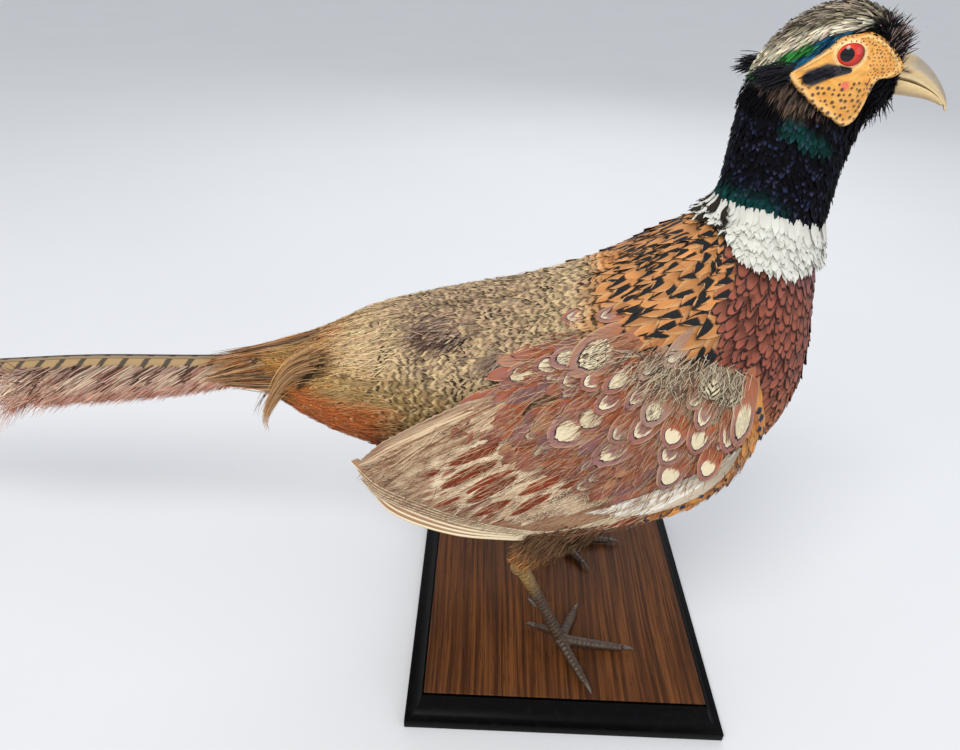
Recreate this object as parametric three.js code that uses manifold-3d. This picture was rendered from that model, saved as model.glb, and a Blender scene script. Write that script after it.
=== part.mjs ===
// A life-size mounted cock pheasant on a square wooden board: head up, wings folded, long tail behind.
// Millimetres, +Z up. The origin is the centre of the board's underside, and the bird looks along +X.
// The bird's own frame starts on top of the board between the feet: x forward, y to its left side, z up.

import * as THREE from "three";
import { mergeVertices } from "three/addons/utils/BufferGeometryUtils.js";
import Module from "manifold-3d";

const wasm = await Module();
wasm.setup();

// ---- Driving dimensions ----

const GAP = 0.3; // clearance between pieces that touch
const BOARD_SIDE = 200;
const BOARD_HEIGHT = 20;
const BOARD_EDGE = 6; // upright face at the foot of the board
const BEVEL_RUN = 11; // width of the moulded edge, seen from above
const PANEL_STEP = 1.6; // how far the top panel stands over the moulding
const BIRD_YAW = THREE.MathUtils.degToRad(-6);

const EYE_RADIUS = 6.6;
const EYE_CENTRE = [93, 15.6, 366.5]; // forward, out to the side, up
const FACE_PROUD = 1.1; // thickness of the bare skin of the face
const WING_THICKNESS = 6;
const PRIMARIES_THICKNESS = 2.2;
const TAIL_THICKNESS = 1.2;
const TAIL_TIP_X = -640;
const TARSUS_RADIUS = 4.2;
const TOE_RADIUS = 3.5;
const CLAW_LENGTH = 10;

// Body sections from tail root to forehead: [back x, back z, belly x, belly z, half width].
const BODY_SECTIONS = [
  [-214, 177, -212, 166, 10], // tail root
  [-190, 184, -187, 154, 23],
  [-164, 194, -156, 140, 36], // upper tail coverts
  [-134, 211, -118, 127, 47], // rump
  [-94, 225, -70, 115, 56],
  [-47, 238, -26, 107, 60], // saddle
  [-6, 254, 18, 107, 60],
  [21, 272, 62, 118, 57], // mantle
  [38, 283, 98, 142, 51],
  [47, 288, 118, 178, 43], // breast
  [52, 294, 120, 218, 36],
  [54, 301, 115, 247, 30], // collar
  [55, 311, 110, 275, 26],
  [55, 325, 109, 300, 23.5], // neck
  [55, 338, 110, 318, 22],
  [57, 352, 112, 333, 21.5], // nape and throat
  [64, 369, 115, 341, 21.5],
  [78, 382, 119, 345, 20],
  [96, 387, 121, 347, 17.5], // crown and chin
  [111, 381, 122, 349, 13],
  [119, 372, 123, 353, 8], // forehead
];
const BODY_ROWS = 36;
const BODY_COLUMNS = 20;
const SHOULDER_RISE = 0.14; // how far above the middle the trunk is widest, as a share of half its height

// Where each cut through the body crosses the side view, [x, z] to [x, z].
const HEAD_CUT = [[40, 337], [125, 327]];
const NECK_CUT = [[30, 293], [130, 255]];
const RUMP_CUT = [[-108, 240], [-96, 100]];
const COVERTS_CUT = [[-130, 156], [84, 138]];

// Side views of the bare face and the folded wing, as smooth closed outlines through [x, z].
const FACE_OUTLINE = [
  [92, 376], [104, 376], [112, 370], [117, 361], [112, 356], [108, 350], [105, 343],
  [99, 337], [90, 339], [79, 345], [71, 356], [76, 363], [84, 369],
];
const WING_OUTLINE = [
  [86, 186], [83, 163], [66, 139], [30, 119], [-5, 106], [-42, 100], [-84, 103], [-115, 113],
  [-131, 129], [-106, 160], [-78, 184], [-40, 208], [0, 222], [40, 222], [72, 208],
];
const PRIMARIES_OUTLINE = [
  [20, 122], [-5, 99], [-42, 92], [-86, 94], [-119, 104],
  [-137, 123], [-131, 137], [-100, 150], [-40, 150], [0, 140],
];
const WING_CENTRE = [-16, 0, 168];
const WING_BOW = [186, 70, 112]; // half lengths of the bowed outer surface: forward, out and up

// Where the toes meet, the ankle, and each toe as [direction in degrees, length], in the bird's frame.
const LEGS = {
  right: {
    joint: [4.6, -50, 7],
    ankle: [-27, -45, 68],
    toes: { middle: [3.5, 50], outer: [-58, 40], inner: [72, 38] },
  },
  left: {
    joint: [-2, 48, 7],
    ankle: [-31, 44, 68],
    toes: { middle: [5, 50], outer: [62, 40], inner: [-47, 38] },
  },
};

// The tail is a roof: its ridge runs along the middle pair, and each slope carries the outer feathers.
const TAIL_RIDGE = [[-178, 179], [-240, 171], [-320, 162.5], [-400, 150], [-520, 132], [TAIL_TIP_X, 110]];
const ROOF_PITCH = THREE.MathUtils.degToRad(54);
// The vanes' widths, as [share of the length, width].
const MIDDLE_VANE = [[0, 14], [0.12, 19], [0.35, 24], [0.6, 21], [0.85, 13], [0.97, 7], [1, 3]];
const OUTER_VANES = [[0, 20], [0.2, 26], [0.45, 36], [0.7, 31], [0.9, 22], [1, 12]];
const OUTER_SHARE = 0.66; // the outer feathers end at this share of the ridge

// ---- Materials ----

const finish = (color, roughness) => new THREE.MeshStandardMaterial({ color, roughness, metalness: 0 });
const blackLacquer = finish(0x0d0d0e, 0.35);
const walnut = finish(0x6b4022, 0.45);
const copperFeather = finish(0x8a4a2c, 0.6);
const rumpFeather = finish(0x8a7346, 0.75);
const neckFeather = finish(0x0e1a2a, 0.35);
const crownFeather = finish(0x4d4a3c, 0.7);
const covertFeather = finish(0x9c5a3a, 0.65);
const secondaryFeather = finish(0xb08a62, 0.65);
const primaryFeather = finish(0x8d6a50, 0.6);
const tailFeather = finish(0xa98050, 0.65);
const thighFeather = finish(0x7a4a28, 0.8);
const blackFeather = finish(0x0b0f12, 0.5);
const orangeSkin = finish(0xe09a3a, 0.55);
const redGlass = finish(0xc02a1c, 0.06);
const horn = finish(0xc9ae84, 0.4);
const scaledLeg = finish(0x3b2a1c, 0.5);
const darkClaw = finish(0x1e1712, 0.4);

// ---- Solids ----

// A three.js geometry with its vertices shared and its faces turned outwards, as a manifold-3d solid.
function toSolid(geometry) {
  const bare = new THREE.BufferGeometry();
  bare.setAttribute("position", geometry.getAttribute("position"));
  bare.setIndex(geometry.index);
  const merged = mergeVertices(bare, 1e-4);
  const corners = merged.index.array;
  const at = merged.attributes.position.array;
  const [a, b, c] = [new THREE.Vector3(), new THREE.Vector3(), new THREE.Vector3()];
  const faces = [];
  let volume = 0;
  for (let i = 0; i < corners.length; i += 3) {
    const [p, q, r] = corners.slice(i, i + 3);
    if (p === q || q === r || p === r) continue;
    faces.push([p, q, r]);
    volume += a.fromArray(at, 3 * p).dot(b.fromArray(at, 3 * q).cross(c.fromArray(at, 3 * r)));
  }
  const outward = faces.flatMap(([p, q, r]) => (volume < 0 ? [p, r, q] : [p, q, r]));
  const triVerts = new Uint32Array(outward);
  return new wasm.Manifold(new wasm.Mesh({ numProp: 3, vertProperties: at, triVerts }));
}

function toGeometry(solid) {
  const { vertProperties, triVerts } = solid.getMesh();
  const geometry = new THREE.BufferGeometry();
  geometry.setAttribute("position", new THREE.BufferAttribute(vertProperties, 3));
  geometry.setIndex(new THREE.BufferAttribute(triVerts, 1));
  geometry.computeVertexNormals();
  return geometry;
}

// A form at its own size, and with room round it for the gap to what it touches.
const fitted = (make) => ({ solid: make(0), room: make(GAP) });

const joined = (solids) => solids.reduce((all, solid) => all.add(solid));

const flippedSide = (solid) => toSolid(toGeometry(solid).scale(1, -1, 1));

const largestBody = (solid) => solid.decompose().sort((a, b) => b.volume() - a.volume())[0];

// A sphere's rows and columns laid over a shape: place(t, angle) gives the point at t along it and angle
// around it, and place(t) the middle of either end.
function laidSphere(place, rows, columns) {
  const geometry = new THREE.SphereGeometry(1, columns, rows);
  const at = geometry.attributes.position;
  for (let row = 0; row <= rows; row++) {
    const t = THREE.MathUtils.clamp((row - 1) / (rows - 2), 0, 1);
    for (let column = 0; column <= columns; column++) {
      const angle = (2 * Math.PI * (column % columns)) / columns;
      const p = row === 0 || row === rows ? place(t) : place(t, angle);
      at.setXYZ(row * (columns + 1) + column, p.x, p.y, p.z);
    }
  }
  return geometry;
}

// The feathered body as one form, grown outwards by grow.
function bodyForm(grow) {
  const back = new THREE.CatmullRomCurve3(BODY_SECTIONS.map(([x, z, , , w]) => new THREE.Vector3(x, w, z)));
  const belly = new THREE.CatmullRomCurve3(BODY_SECTIONS.map(([, , x, z]) => new THREE.Vector3(x, 0, z)));
  const place = (t, angle) => {
    const top = back.getPoint(t);
    const bottom = belly.getPoint(t);
    const halfWidth = top.y + grow;
    top.y = 0;
    const middle = top.clone().add(bottom).multiplyScalar(0.5);
    if (angle === undefined) return middle;
    const reach = top.sub(bottom).multiplyScalar(0.5);
    reach.setLength(reach.length() + grow);
    const rise = SHOULDER_RISE * THREE.MathUtils.smoothstep(halfWidth, 36, 56) * Math.sin(angle) ** 2;
    middle.addScaledVector(reach, Math.cos(angle) + rise);
    middle.y = halfWidth * Math.sin(angle);
    return middle;
  };
  return toSolid(laidSphere(place, BODY_ROWS, BODY_COLUMNS));
}

// A round limb along a smooth curve through points, with a radius at each; flat squeezes its height.
function limb(points, radii, { rows = 7, columns = 7, flat = 1, grow = 0 } = {}) {
  const curve = new THREE.CatmullRomCurve3(points.map((p) => new THREE.Vector3(...p)));
  const thickness = new THREE.CatmullRomCurve3(radii.map((r) => new THREE.Vector3(r + grow, 0, 0)));
  const place = (t, angle) => {
    const at = curve.getPoint(t);
    if (angle === undefined) return at;
    const ahead = curve.getTangent(t);
    const across = new THREE.Vector3(0, 0, 1).cross(ahead);
    if (across.lengthSq() < 0.02) across.set(0, 1, 0);
    across.normalize();
    const up = ahead.clone().cross(across).normalize();
    const r = thickness.getPoint(t).x;
    return at.addScaledVector(across, r * Math.cos(angle)).addScaledVector(up, flat * r * Math.sin(angle));
  };
  return toSolid(laidSphere(place, rows, columns));
}

const ball = (radius, [x, y, z], columns = 12, rows = 7) =>
  toSolid(new THREE.SphereGeometry(radius, columns, rows).translate(x, y, z));

// A thin plate: place(u, v, face) gives the point at u along and v across, on its upper (1) or lower
// (-1) face.
function plate(place, along, across) {
  const geometry = new THREE.BoxGeometry(1, 1, 1, along, across, 1);
  const at = geometry.attributes.position;
  for (let i = 0; i < at.count; i++) {
    const p = place(at.getX(i) + 0.5, at.getY(i) + 0.5, 2 * at.getZ(i));
    at.setXYZ(i, p.x, p.y, p.z);
  }
  return toSolid(geometry);
}

// An outline of the side view, grown all round, as a solid from the middle out past the right side.
function sideOutline(points, divisions, grow = 0) {
  const middle = points.reduce((sum, [x, z]) => sum.add(new THREE.Vector2(x, z)), new THREE.Vector2());
  middle.divideScalar(points.length);
  const grown = points.map(([x, z]) => {
    const out = new THREE.Vector2(x, z).sub(middle);
    return out.setLength(out.length() + 1.5 * grow).add(middle);
  });
  const curve = new THREE.CatmullRomCurve3(grown.map(({ x, y }) => new THREE.Vector3(x, y, 0)), true);
  const shape = new THREE.Shape(curve.getPoints(divisions).map(({ x, y }) => new THREE.Vector2(x, y)));
  const reach = 2 * WING_BOW[1];
  const prism = new THREE.ExtrudeGeometry(shape, { depth: reach, bevelEnabled: false });
  return toSolid(prism.rotateX(Math.PI / 2));
}

// All above (side 1) or below (side -1) the line through two points of the side view, and half a gap more.
function beyond([[x1, z1], [x2, z2]], side) {
  const reach = 900;
  const box = new THREE.BoxGeometry(2 * reach, reach, reach);
  box.translate(0, 0, side * (reach / 2 - GAP / 2));
  box.rotateY(-Math.atan2(z2 - z1, x2 - x1));
  return toSolid(box.translate((x1 + x2) / 2, 0, (z1 + z2) / 2));
}

// ---- Assembly ----

const object = new THREE.Group();
const bird = new THREE.Group();
bird.position.z = BOARD_HEIGHT;
bird.rotation.z = BIRD_YAW;
object.add(bird);

function addPiece(parent, name, solid, material) {
  const mesh = new THREE.Mesh(toGeometry(largestBody(solid)), material);
  mesh.name = name;
  parent.add(mesh);
}

const SIDES = { right: (solid) => solid, left: flippedSide };

// Adds a piece on each side: make(onSide) builds it, and onSide turns a right-hand solid over for the left.
function addPair(name, make, material) {
  for (const [side, onSide] of Object.entries(SIDES)) {
    addPiece(bird, `${name}_${side}`, make(onSide), material);
  }
}

// ---- Board: a black moulded plinth with a wooden top panel ----

function boardPlinth() {
  const outer = BOARD_SIDE / 2;
  const inner = outer - BEVEL_RUN;
  const top = BOARD_HEIGHT - PANEL_STEP;
  const curveSteps = 5;
  const lip = 1; // flat at the foot and at the head of the hollow curve
  const profile = [[outer, 0], [outer, BOARD_EDGE]]; // half side and height, from the foot up
  for (let i = 0; i <= curveSteps; i++) {
    const turn = (i / curveSteps) * (Math.PI / 2);
    const run = lip + (BEVEL_RUN - 2 * lip) * Math.sin(turn);
    profile.push([outer - run, top - (top - BOARD_EDGE - lip) * Math.cos(turn)]);
  }
  profile.push([inner, top]);
  const square = ([side, z]) => [-side, -side, z, side, -side, z, side, side, z, -side, side, z];
  const faces = [0, 2, 1, 0, 3, 2];
  for (let level = 0; level < profile.length - 1; level++) {
    for (let corner = 0; corner < 4; corner++) {
      const a = 4 * level + corner;
      const b = 4 * level + ((corner + 1) % 4);
      faces.push(a, b, b + 4, a, b + 4, a + 4);
    }
  }
  const last = 4 * (profile.length - 1);
  faces.push(last, last + 1, last + 2, last, last + 2, last + 3);
  const geometry = new THREE.BufferGeometry();
  geometry.setAttribute("position", new THREE.Float32BufferAttribute(profile.flatMap(square), 3));
  return toSolid(geometry.setIndex(faces));
}

const panelSide = BOARD_SIDE - 2 * BEVEL_RUN - 1;
const panel = new THREE.BoxGeometry(panelSide, panelSide, PANEL_STEP - GAP);
panel.translate(0, 0, BOARD_HEIGHT - (PANEL_STEP - GAP) / 2);
addPiece(object, "base_board", boardPlinth(), blackLacquer);
addPiece(object, "base_panel", toSolid(panel), walnut);

// ---- Head, neck and trunk, parted by thin cuts; the rump follows with the tail ----

const body = fitted(bodyForm);
const [eyeX, eyeOut, eyeZ] = EYE_CENTRE;
const rightEye = fitted((grow) => ball(EYE_RADIUS + grow, [eyeX, -eyeOut, eyeZ]));
const sockets = rightEye.room.add(flippedSide(rightEye.room));

const belowNeck = body.solid.subtract(beyond(NECK_CUT, 1));
addPiece(bird, "head", body.solid.subtract(beyond(HEAD_CUT, -1)).subtract(sockets), crownFeather);
const neck = body.solid.subtract(beyond(HEAD_CUT, 1)).subtract(beyond(NECK_CUT, -1));
addPiece(bird, "neck", neck, neckFeather);
addPiece(bird, "trunk", belowNeck.subtract(beyond(RUMP_CUT, -1)), copperFeather);
addPair("eye", (onSide) => onSide(rightEye.solid), redGlass);

// ---- Bare face, bill and ear tufts ----

const faceShell = bodyForm(FACE_PROUD + GAP).subtract(body.room);
const faceOutline = sideOutline(FACE_OUTLINE, 20);
addPair("face", (onSide) => faceShell.intersect(onSide(faceOutline)).subtract(sockets), orangeSkin);

// Both mandibles start inside the feathered face and are cut off at its skin. The upper one hooks over
// the lower.
const upperBill = fitted((grow) =>
  limb(
    [[112, 0, 361], [122, 0, 360.5], [132, 0, 357], [141, 0, 351.5], [147.5, 0, 343.5]],
    [6.6, 6.4, 5.2, 3.4, 0.7],
    { rows: 10, columns: 11, flat: 1.12, grow },
  ),
);
const lowerBill = limb(
  [[112, 0, 351], [122, 0, 350.5], [132, 0, 348], [142, 0, 344]],
  [5.4, 5, 3.8, 1],
  { rows: 8, columns: 10, flat: 0.62 },
);
addPiece(bird, "bill_upper", upperBill.solid.subtract(body.room), horn);
addPiece(bird, "bill_lower", lowerBill.subtract(body.room).subtract(upperBill.room), horn);

const earTuft = limb([[70, -17, 360], [61, -18, 360], [52, -16, 358]], [4, 3, 0.8], { rows: 6, flat: 0.7 });
addPair("ear_tuft", (onSide) => onSide(earTuft).subtract(body.room), blackFeather);

// ---- Wings: coverts and secondaries bowed round the trunk, primaries tucked under the lower edge ----

const bow = (inset) => {
  const [forward, out, up] = WING_BOW.map((size) => size - inset);
  const sphere = new THREE.SphereGeometry(1, 36, 24).rotateX(Math.PI / 2);
  return toSolid(sphere.scale(forward, out, up).translate(...WING_CENTRE));
};

const bowedPlate = (outline, inset, thickness) => (grow) =>
  bow(inset - grow)
    .subtract(bow(inset + thickness + grow))
    .intersect(sideOutline(outline, 26, grow));

const wing = fitted(bowedPlate(WING_OUTLINE, 0, WING_THICKNESS));
const primaries = fitted(bowedPlate(PRIMARIES_OUTLINE, WING_THICKNESS + GAP, PRIMARIES_THICKNESS));
const coverts = wing.solid.subtract(beyond(COVERTS_CUT, -1));
const secondaries = wing.solid.subtract(beyond(COVERTS_CUT, 1));
addPair("wing_coverts", (onSide) => onSide(coverts).subtract(body.room), covertFeather);
addPair("secondaries", (onSide) => onSide(secondaries).subtract(body.room), secondaryFeather);
addPair("primaries", (onSide) => onSide(primaries.solid).subtract(body.room), primaryFeather);

// ---- Legs: feathered thigh, scaled tarsus with a spur, four toes with claws ----

function addLeg(side, { joint, ankle, toes }) {
  const inward = side === "right" ? 1 : -1;
  const foot = new THREE.Vector3(...joint);
  const heel = new THREE.Vector3(...ankle);
  const near = (point, dx, dy, dz) => [point.x + dx, point.y + dy * inward, point.z + dz];
  const along = (share) => heel.clone().lerp(foot, share);
  const onSide = SIDES[side];

  const shank = fitted((grow) =>
    limb(
      [near(heel, 0, 0, -1), along(0.5).toArray(), near(foot, -2, 0, 4)],
      [TARSUS_RADIUS + 1.2, TARSUS_RADIUS, TARSUS_RADIUS + 0.4],
      { flat: 0.85, grow },
    ).add(ball(TARSUS_RADIUS + 1.8 + grow, near(heel, 0, 0, -3), 9, 6)),
  );

  // Each toe runs from the joint over a low arch down to the board; its claw curves on to the tip.
  const toePoint = ([degrees, length], share, z) => {
    const turn = THREE.MathUtils.degToRad(degrees);
    return [foot.x + share * length * Math.cos(turn), foot.y + share * length * Math.sin(turn), z];
  };
  const toeForms = Object.values(toes).map((toe) => (grow) => {
    const end = 1 - (CLAW_LENGTH - 2) / toe[1];
    const points = [
      joint,
      toePoint(toe, 0.3, TOE_RADIUS + 1.6),
      toePoint(toe, 0.6, TOE_RADIUS + 0.3),
      toePoint(toe, end, TOE_RADIUS - 0.4),
    ];
    const radii = [0.6, 0, -0.4, -1.4].map((more) => TOE_RADIUS + more);
    return limb(points, radii, { rows: 6, flat: 0.9, grow });
  });
  const hindPoints = [near(foot, 0, 0, 4), near(foot, -9, 5, 2), near(foot, -17, 9, -1)];
  const hindToe = (grow) => limb(hindPoints, [2.8, 2.4, 1.8], { rows: 5, grow });
  const knuckle = (grow) => ball(TOE_RADIUS + 1.6 + grow, near(foot, 0, 0, -1), 8, 6);
  const wholeFoot = fitted((grow) => joined([knuckle, hindToe, ...toeForms].map((form) => form(grow))));

  const boardRoom = toSolid(new THREE.BoxGeometry(400, 400, 40).translate(0, 0, GAP - 20));
  const addClaw = (name, points) => {
    const solid = limb(points, [1.9, 1.5, 0.5], { rows: 5, columns: 6 });
    addPiece(bird, `claw_${name}_${side}`, solid.subtract(wholeFoot.room).subtract(boardRoom), darkClaw);
  };
  for (const [name, toe] of Object.entries(toes)) {
    const start = 1 - CLAW_LENGTH / toe[1];
    const bend = 1 - 4 / toe[1];
    addClaw(name, [
      toePoint(toe, start, TOE_RADIUS - 0.2),
      toePoint(toe, bend, TOE_RADIUS + 0.2),
      toePoint(toe, 1, 1.4),
    ]);
  }
  addClaw("hind", [hindPoints[2], near(foot, -21, 11, -2), near(foot, -24, 12.5, -5)]);

  const spurRoot = along(0.58);
  const spur = limb(
    [near(spurRoot, 0, 0, 0), near(spurRoot, -6, 3, 0), near(spurRoot, -11, 5, 2)],
    [2.8, 2.2, 0.6],
    { rows: 5, columns: 6 },
  );
  const thigh = limb(
    [[22, foot.y * 0.62, 150], [6, foot.y * 0.72, 122], [-12, heel.y * 0.95, 96], near(heel, 1, 0, 3)],
    [30, 27, 17, 6.5],
    { rows: 7, columns: 10 },
  );
  const upward = joined([body.room, onSide(wing.room), onSide(primaries.room)]);
  addPiece(bird, `thigh_${side}`, thigh.subtract(upward).subtract(shank.room), thighFeather);
  addPiece(bird, `tarsus_${side}`, shank.solid.subtract(wholeFoot.room), scaledLeg);
  addPiece(bird, `spur_${side}`, spur.subtract(shank.room).subtract(wholeFoot.room), horn);
  addPiece(bird, `foot_${side}`, wholeFoot.solid.subtract(boardRoom), scaledLeg);
}

for (const [side, leg] of Object.entries(LEGS)) addLeg(side, leg);

// ---- Tail and rump ----

const ridge = new THREE.CatmullRomCurve3(TAIL_RIDGE.map(([x, z]) => new THREE.Vector3(x, 0, z)));

// The width that a [share, width] table gives at share t.
function widthAt(table, t) {
  const next = Math.max(1, table.findIndex(([share]) => share >= t));
  const [[before, from], [after, to]] = [table[next - 1], table[next]];
  return THREE.MathUtils.lerp(from, to, THREE.MathUtils.smoothstep(t, before, after));
}

// A point of the right-hand slope: t along the ridge, run down the slope, lift off its face.
function onSlope(t, run, lift) {
  const at = ridge.getPointAt(t);
  const clear = GAP / 2 + (TAIL_THICKNESS / 2) * Math.sin(ROOF_PITCH);
  at.y -= run * Math.cos(ROOF_PITCH) + lift * Math.sin(ROOF_PITCH) + clear;
  at.z += lift * Math.cos(ROOF_PITCH) - run * Math.sin(ROOF_PITCH);
  return at;
}

const middleFeather = fitted((grow) =>
  plate(
    (u, v, face) => {
      const run = v * (widthAt(MIDDLE_VANE, u) + grow);
      return onSlope(u, run, face * (TAIL_THICKNESS / 2 + grow));
    },
    20,
    1,
  ),
);
const outerFeathers = fitted((grow) =>
  plate(
    (u, v, face) => {
      const run = THREE.MathUtils.lerp(6 - grow, widthAt(OUTER_VANES, u) + grow, v);
      const under = TAIL_THICKNESS + 1.5 * GAP;
      return onSlope(u * OUTER_SHARE, run, face * (TAIL_THICKNESS / 2 + grow) - under);
    },
    16,
    1,
  ),
);
addPair("tail_middle", (onSide) => onSide(middleFeather.solid), tailFeather);
addPair("tail_outer", (onSide) => onSide(outerFeathers.solid), tailFeather);

const rightTail = middleFeather.room.add(outerFeathers.room);
const tailRoom = rightTail.add(flippedSide(rightTail));
addPiece(bird, "rump", belowNeck.subtract(beyond(RUMP_CUT, 1)).subtract(tailRoom), rumpFeather);

export default object;
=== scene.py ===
"""A mounted cock ring-necked pheasant on its moulded board.

Shapes are worked out in the bird's own frame, in millimetres: the origin is on the board's top,
+X is where the bird faces, and its right side is -Y. to_row() turns and scales them to the row frame.
"""
import math

import bmesh
import bpy
import numpy as np
from mathutils import Matrix, Vector
from mathutils.bvhtree import BVHTree


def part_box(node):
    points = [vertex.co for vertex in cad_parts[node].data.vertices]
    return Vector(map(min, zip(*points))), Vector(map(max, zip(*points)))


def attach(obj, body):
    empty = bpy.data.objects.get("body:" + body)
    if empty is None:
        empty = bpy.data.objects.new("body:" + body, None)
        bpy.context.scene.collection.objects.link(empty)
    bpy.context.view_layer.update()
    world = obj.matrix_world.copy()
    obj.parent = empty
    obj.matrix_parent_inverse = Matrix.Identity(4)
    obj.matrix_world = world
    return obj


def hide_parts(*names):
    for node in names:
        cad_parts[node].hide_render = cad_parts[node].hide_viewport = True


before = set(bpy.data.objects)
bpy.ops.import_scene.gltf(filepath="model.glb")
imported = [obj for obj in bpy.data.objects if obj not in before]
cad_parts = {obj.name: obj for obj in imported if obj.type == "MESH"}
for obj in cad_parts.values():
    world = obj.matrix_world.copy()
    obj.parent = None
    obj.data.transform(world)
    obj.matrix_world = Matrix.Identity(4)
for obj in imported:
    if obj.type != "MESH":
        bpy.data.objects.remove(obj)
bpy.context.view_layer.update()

# ---- Driving sizes, in the bird's own frame (mm) ----

BIRD_TURN = math.radians(-6)
BOARD_TOP = 1000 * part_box("base_panel")[1].z
SIDES = {"right": 1, "left": -1}
SIDE_NAMES = {1: "right", -1: "left"}

# The fan of section lines that run from back to belly, tail root first: back x and z, belly x and z.
SECTION_LINES = np.array([
    (-214, 177, -212, 166), (-190, 184, -187, 154), (-164, 194, -156, 140), (-134, 211, -118, 127),
    (-94, 225, -70, 115), (-47, 238, -26, 107), (-6, 254, 18, 107), (21, 272, 62, 118), (38, 283, 98, 142),
    (47, 288, 118, 178), (52, 294, 120, 218), (54, 301, 115, 247), (55, 311, 110, 275), (55, 325, 109, 300),
    (55, 338, 110, 318), (57, 352, 112, 333), (64, 369, 115, 341), (78, 382, 119, 345), (96, 387, 121, 347),
    (111, 381, 122, 349), (119, 372, 123, 353)], float)
BEHIND_LINES = np.array([(-330, 161, -330, 150), (-285, 166, -285, 150), (-245, 172, -245, 152)], float)
BEHIND_HALF_WIDTHS = np.array([11.0, 12.0, 12.0])

EYE = np.array([93.0, -15.6, 366.5])
EYE_RADIUS = 6.6
WING_CENTRE = (-16.0, 168.0)
WING_BOW = (186.0, 70.0, 112.0)
WING_OUTLINE = [(86, 186), (83, 163), (66, 139), (30, 119), (-5, 106), (-42, 100), (-84, 103), (-115, 113),
                (-131, 129), (-106, 160), (-78, 184), (-40, 208), (0, 222), (40, 222), (72, 208)]
LEGS = {
    "right": {"joint": (4.6, -50, 7), "ankle": (-27, -45, 68),
              "toes": {"middle": (3.5, 50), "outer": (-58, 40), "inner": (72, 38)}},
    "left": {"joint": (-2, 48, 7), "ankle": (-31, 44, 68),
             "toes": {"middle": (5, 50), "outer": (62, 40), "inner": (-47, 38)}},
}
TAIL_RIDGE = np.array([(-178, 179), (-240, 171), (-320, 162.5), (-400, 150), (-520, 132), (-640, 110)], float)
ROOF_PITCH = math.radians(54)

PATCH = 0.003  # side of one vane's patch on the OFBake map


# ---- Small tools ----

def to_row(points):
    """Points of the bird's own frame (mm) in the row frame (m)."""
    points = np.asarray(points, float)
    c, s = math.cos(BIRD_TURN), math.sin(BIRD_TURN)
    x, y, z = np.moveaxis(points, -1, 0)
    return np.stack([c * x - s * y, s * x + c * y, z + BOARD_TOP], -1) / 1000


def to_bird(points):
    """Points of the row frame (m) in the bird's own frame (mm)."""
    points = np.asarray(points, float) * 1000
    c, s = math.cos(BIRD_TURN), math.sin(BIRD_TURN)
    x, y, z = np.moveaxis(points, -1, 0)
    return np.stack([c * x + s * y, -s * x + c * y, z - BOARD_TOP], -1)


def side_view(points):
    return points[..., 0], points[..., 2]


def rgb(red, green, blue):
    """A linear colour from its 0 to 255 values."""
    share = np.array([red, green, blue], float) / 255
    return np.where(share <= 0.04045, share / 12.92, ((share + 0.055) / 1.055) ** 2.4)


def ease(value, low, high):
    """0 below low and 1 above high, with a smooth step between; low may be the larger."""
    t = np.clip((value - low) / (high - low), 0, 1)
    return t * t * (3 - 2 * t)


def unit(vectors):
    return vectors / np.maximum(np.linalg.norm(vectors, axis=-1, keepdims=True), 1e-9)


def blend(first, second, share):
    """Colours mixed point by point."""
    share = np.asarray(share)[..., None]
    return first * (1 - share) + second * share


def layered(tint, *layers):
    """A tint with others laid over it in turn, each a colour of 0 to 255 values and its share."""
    for colour, share in layers:
        tint = blend(tint, rgb(*colour), share)
    return tint


def picked(pick, limits, *colours):
    """For each row of pick the first colour whose limit is above it, or else the last colour."""
    tint = rgb(*colours[-1])
    for limit, colour in zip(limits[::-1], colours[-2::-1]):
        tint = np.where(pick < limit, rgb(*colour), tint)
    return tint


def chance(seed):
    return np.random.default_rng(seed)


def bell(random, *size):
    """Random numbers around 0, most within 1."""
    return random.standard_normal(size)


def deselect_all():
    bpy.ops.object.select_all(action="DESELECT")


def only(piece):
    """Makes a piece the one selected and active object."""
    deselect_all()
    piece.select_set(True)
    bpy.context.view_layer.objects.active = piece
    return piece


def apply_modifiers(piece):
    only(piece)
    for modifier in list(piece.modifiers):
        bpy.ops.object.modifier_apply(modifier=modifier.name)


def place_points(mesh, points):
    mesh.vertices.foreach_set("co", np.asarray(points, np.float32).ravel())


def shade_smooth(mesh):
    mesh.polygons.foreach_set("use_smooth", np.ones(len(mesh.polygons), bool))


def colour_points(mesh, layer, values):
    """Stores a colour for each point; where it has no alpha, that is 1."""
    rgba = values if values.shape[-1] == 4 else np.concatenate([values, np.ones((len(values), 1))], 1)
    colours = mesh.attributes.new(layer, "FLOAT_COLOR", "POINT")
    colours.data.foreach_set("color", rgba.astype(np.float32).ravel())


def new_mesh_piece(name, points, faces, finish, layers):
    """A mesh from arrays: points (m), faces (n, 3 or 4); layers maps a name to point colours or uvs."""
    mesh = bpy.data.meshes.new(name)
    mesh.vertices.add(len(points))
    place_points(mesh, points)
    mesh.loops.add(faces.size)
    mesh.loops.foreach_set("vertex_index", faces.astype(np.int32).ravel())
    mesh.polygons.add(len(faces))
    mesh.polygons.foreach_set("loop_start", np.arange(0, faces.size, faces.shape[1], dtype=np.int32))
    mesh.update(calc_edges=True)
    for layer, values in layers.items():
        if values.shape[-1] == 2:
            corners = values[faces.ravel()].astype(np.float32)
            mesh.uv_layers.new(name=layer).data.foreach_set("uv", corners.ravel())
        else:
            colour_points(mesh, layer, values)
    shade_smooth(mesh)
    mesh.materials.append(finish)
    piece = bpy.data.objects.new(name, mesh)
    bpy.context.scene.collection.objects.link(piece)
    return piece


def keep(piece, slot, *nodes):
    """Fixes a finished piece to the object and hides the nodes that it stands for. The slot is not used."""
    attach(piece, "root")
    if nodes:
        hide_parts(*nodes)
    return piece


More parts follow.
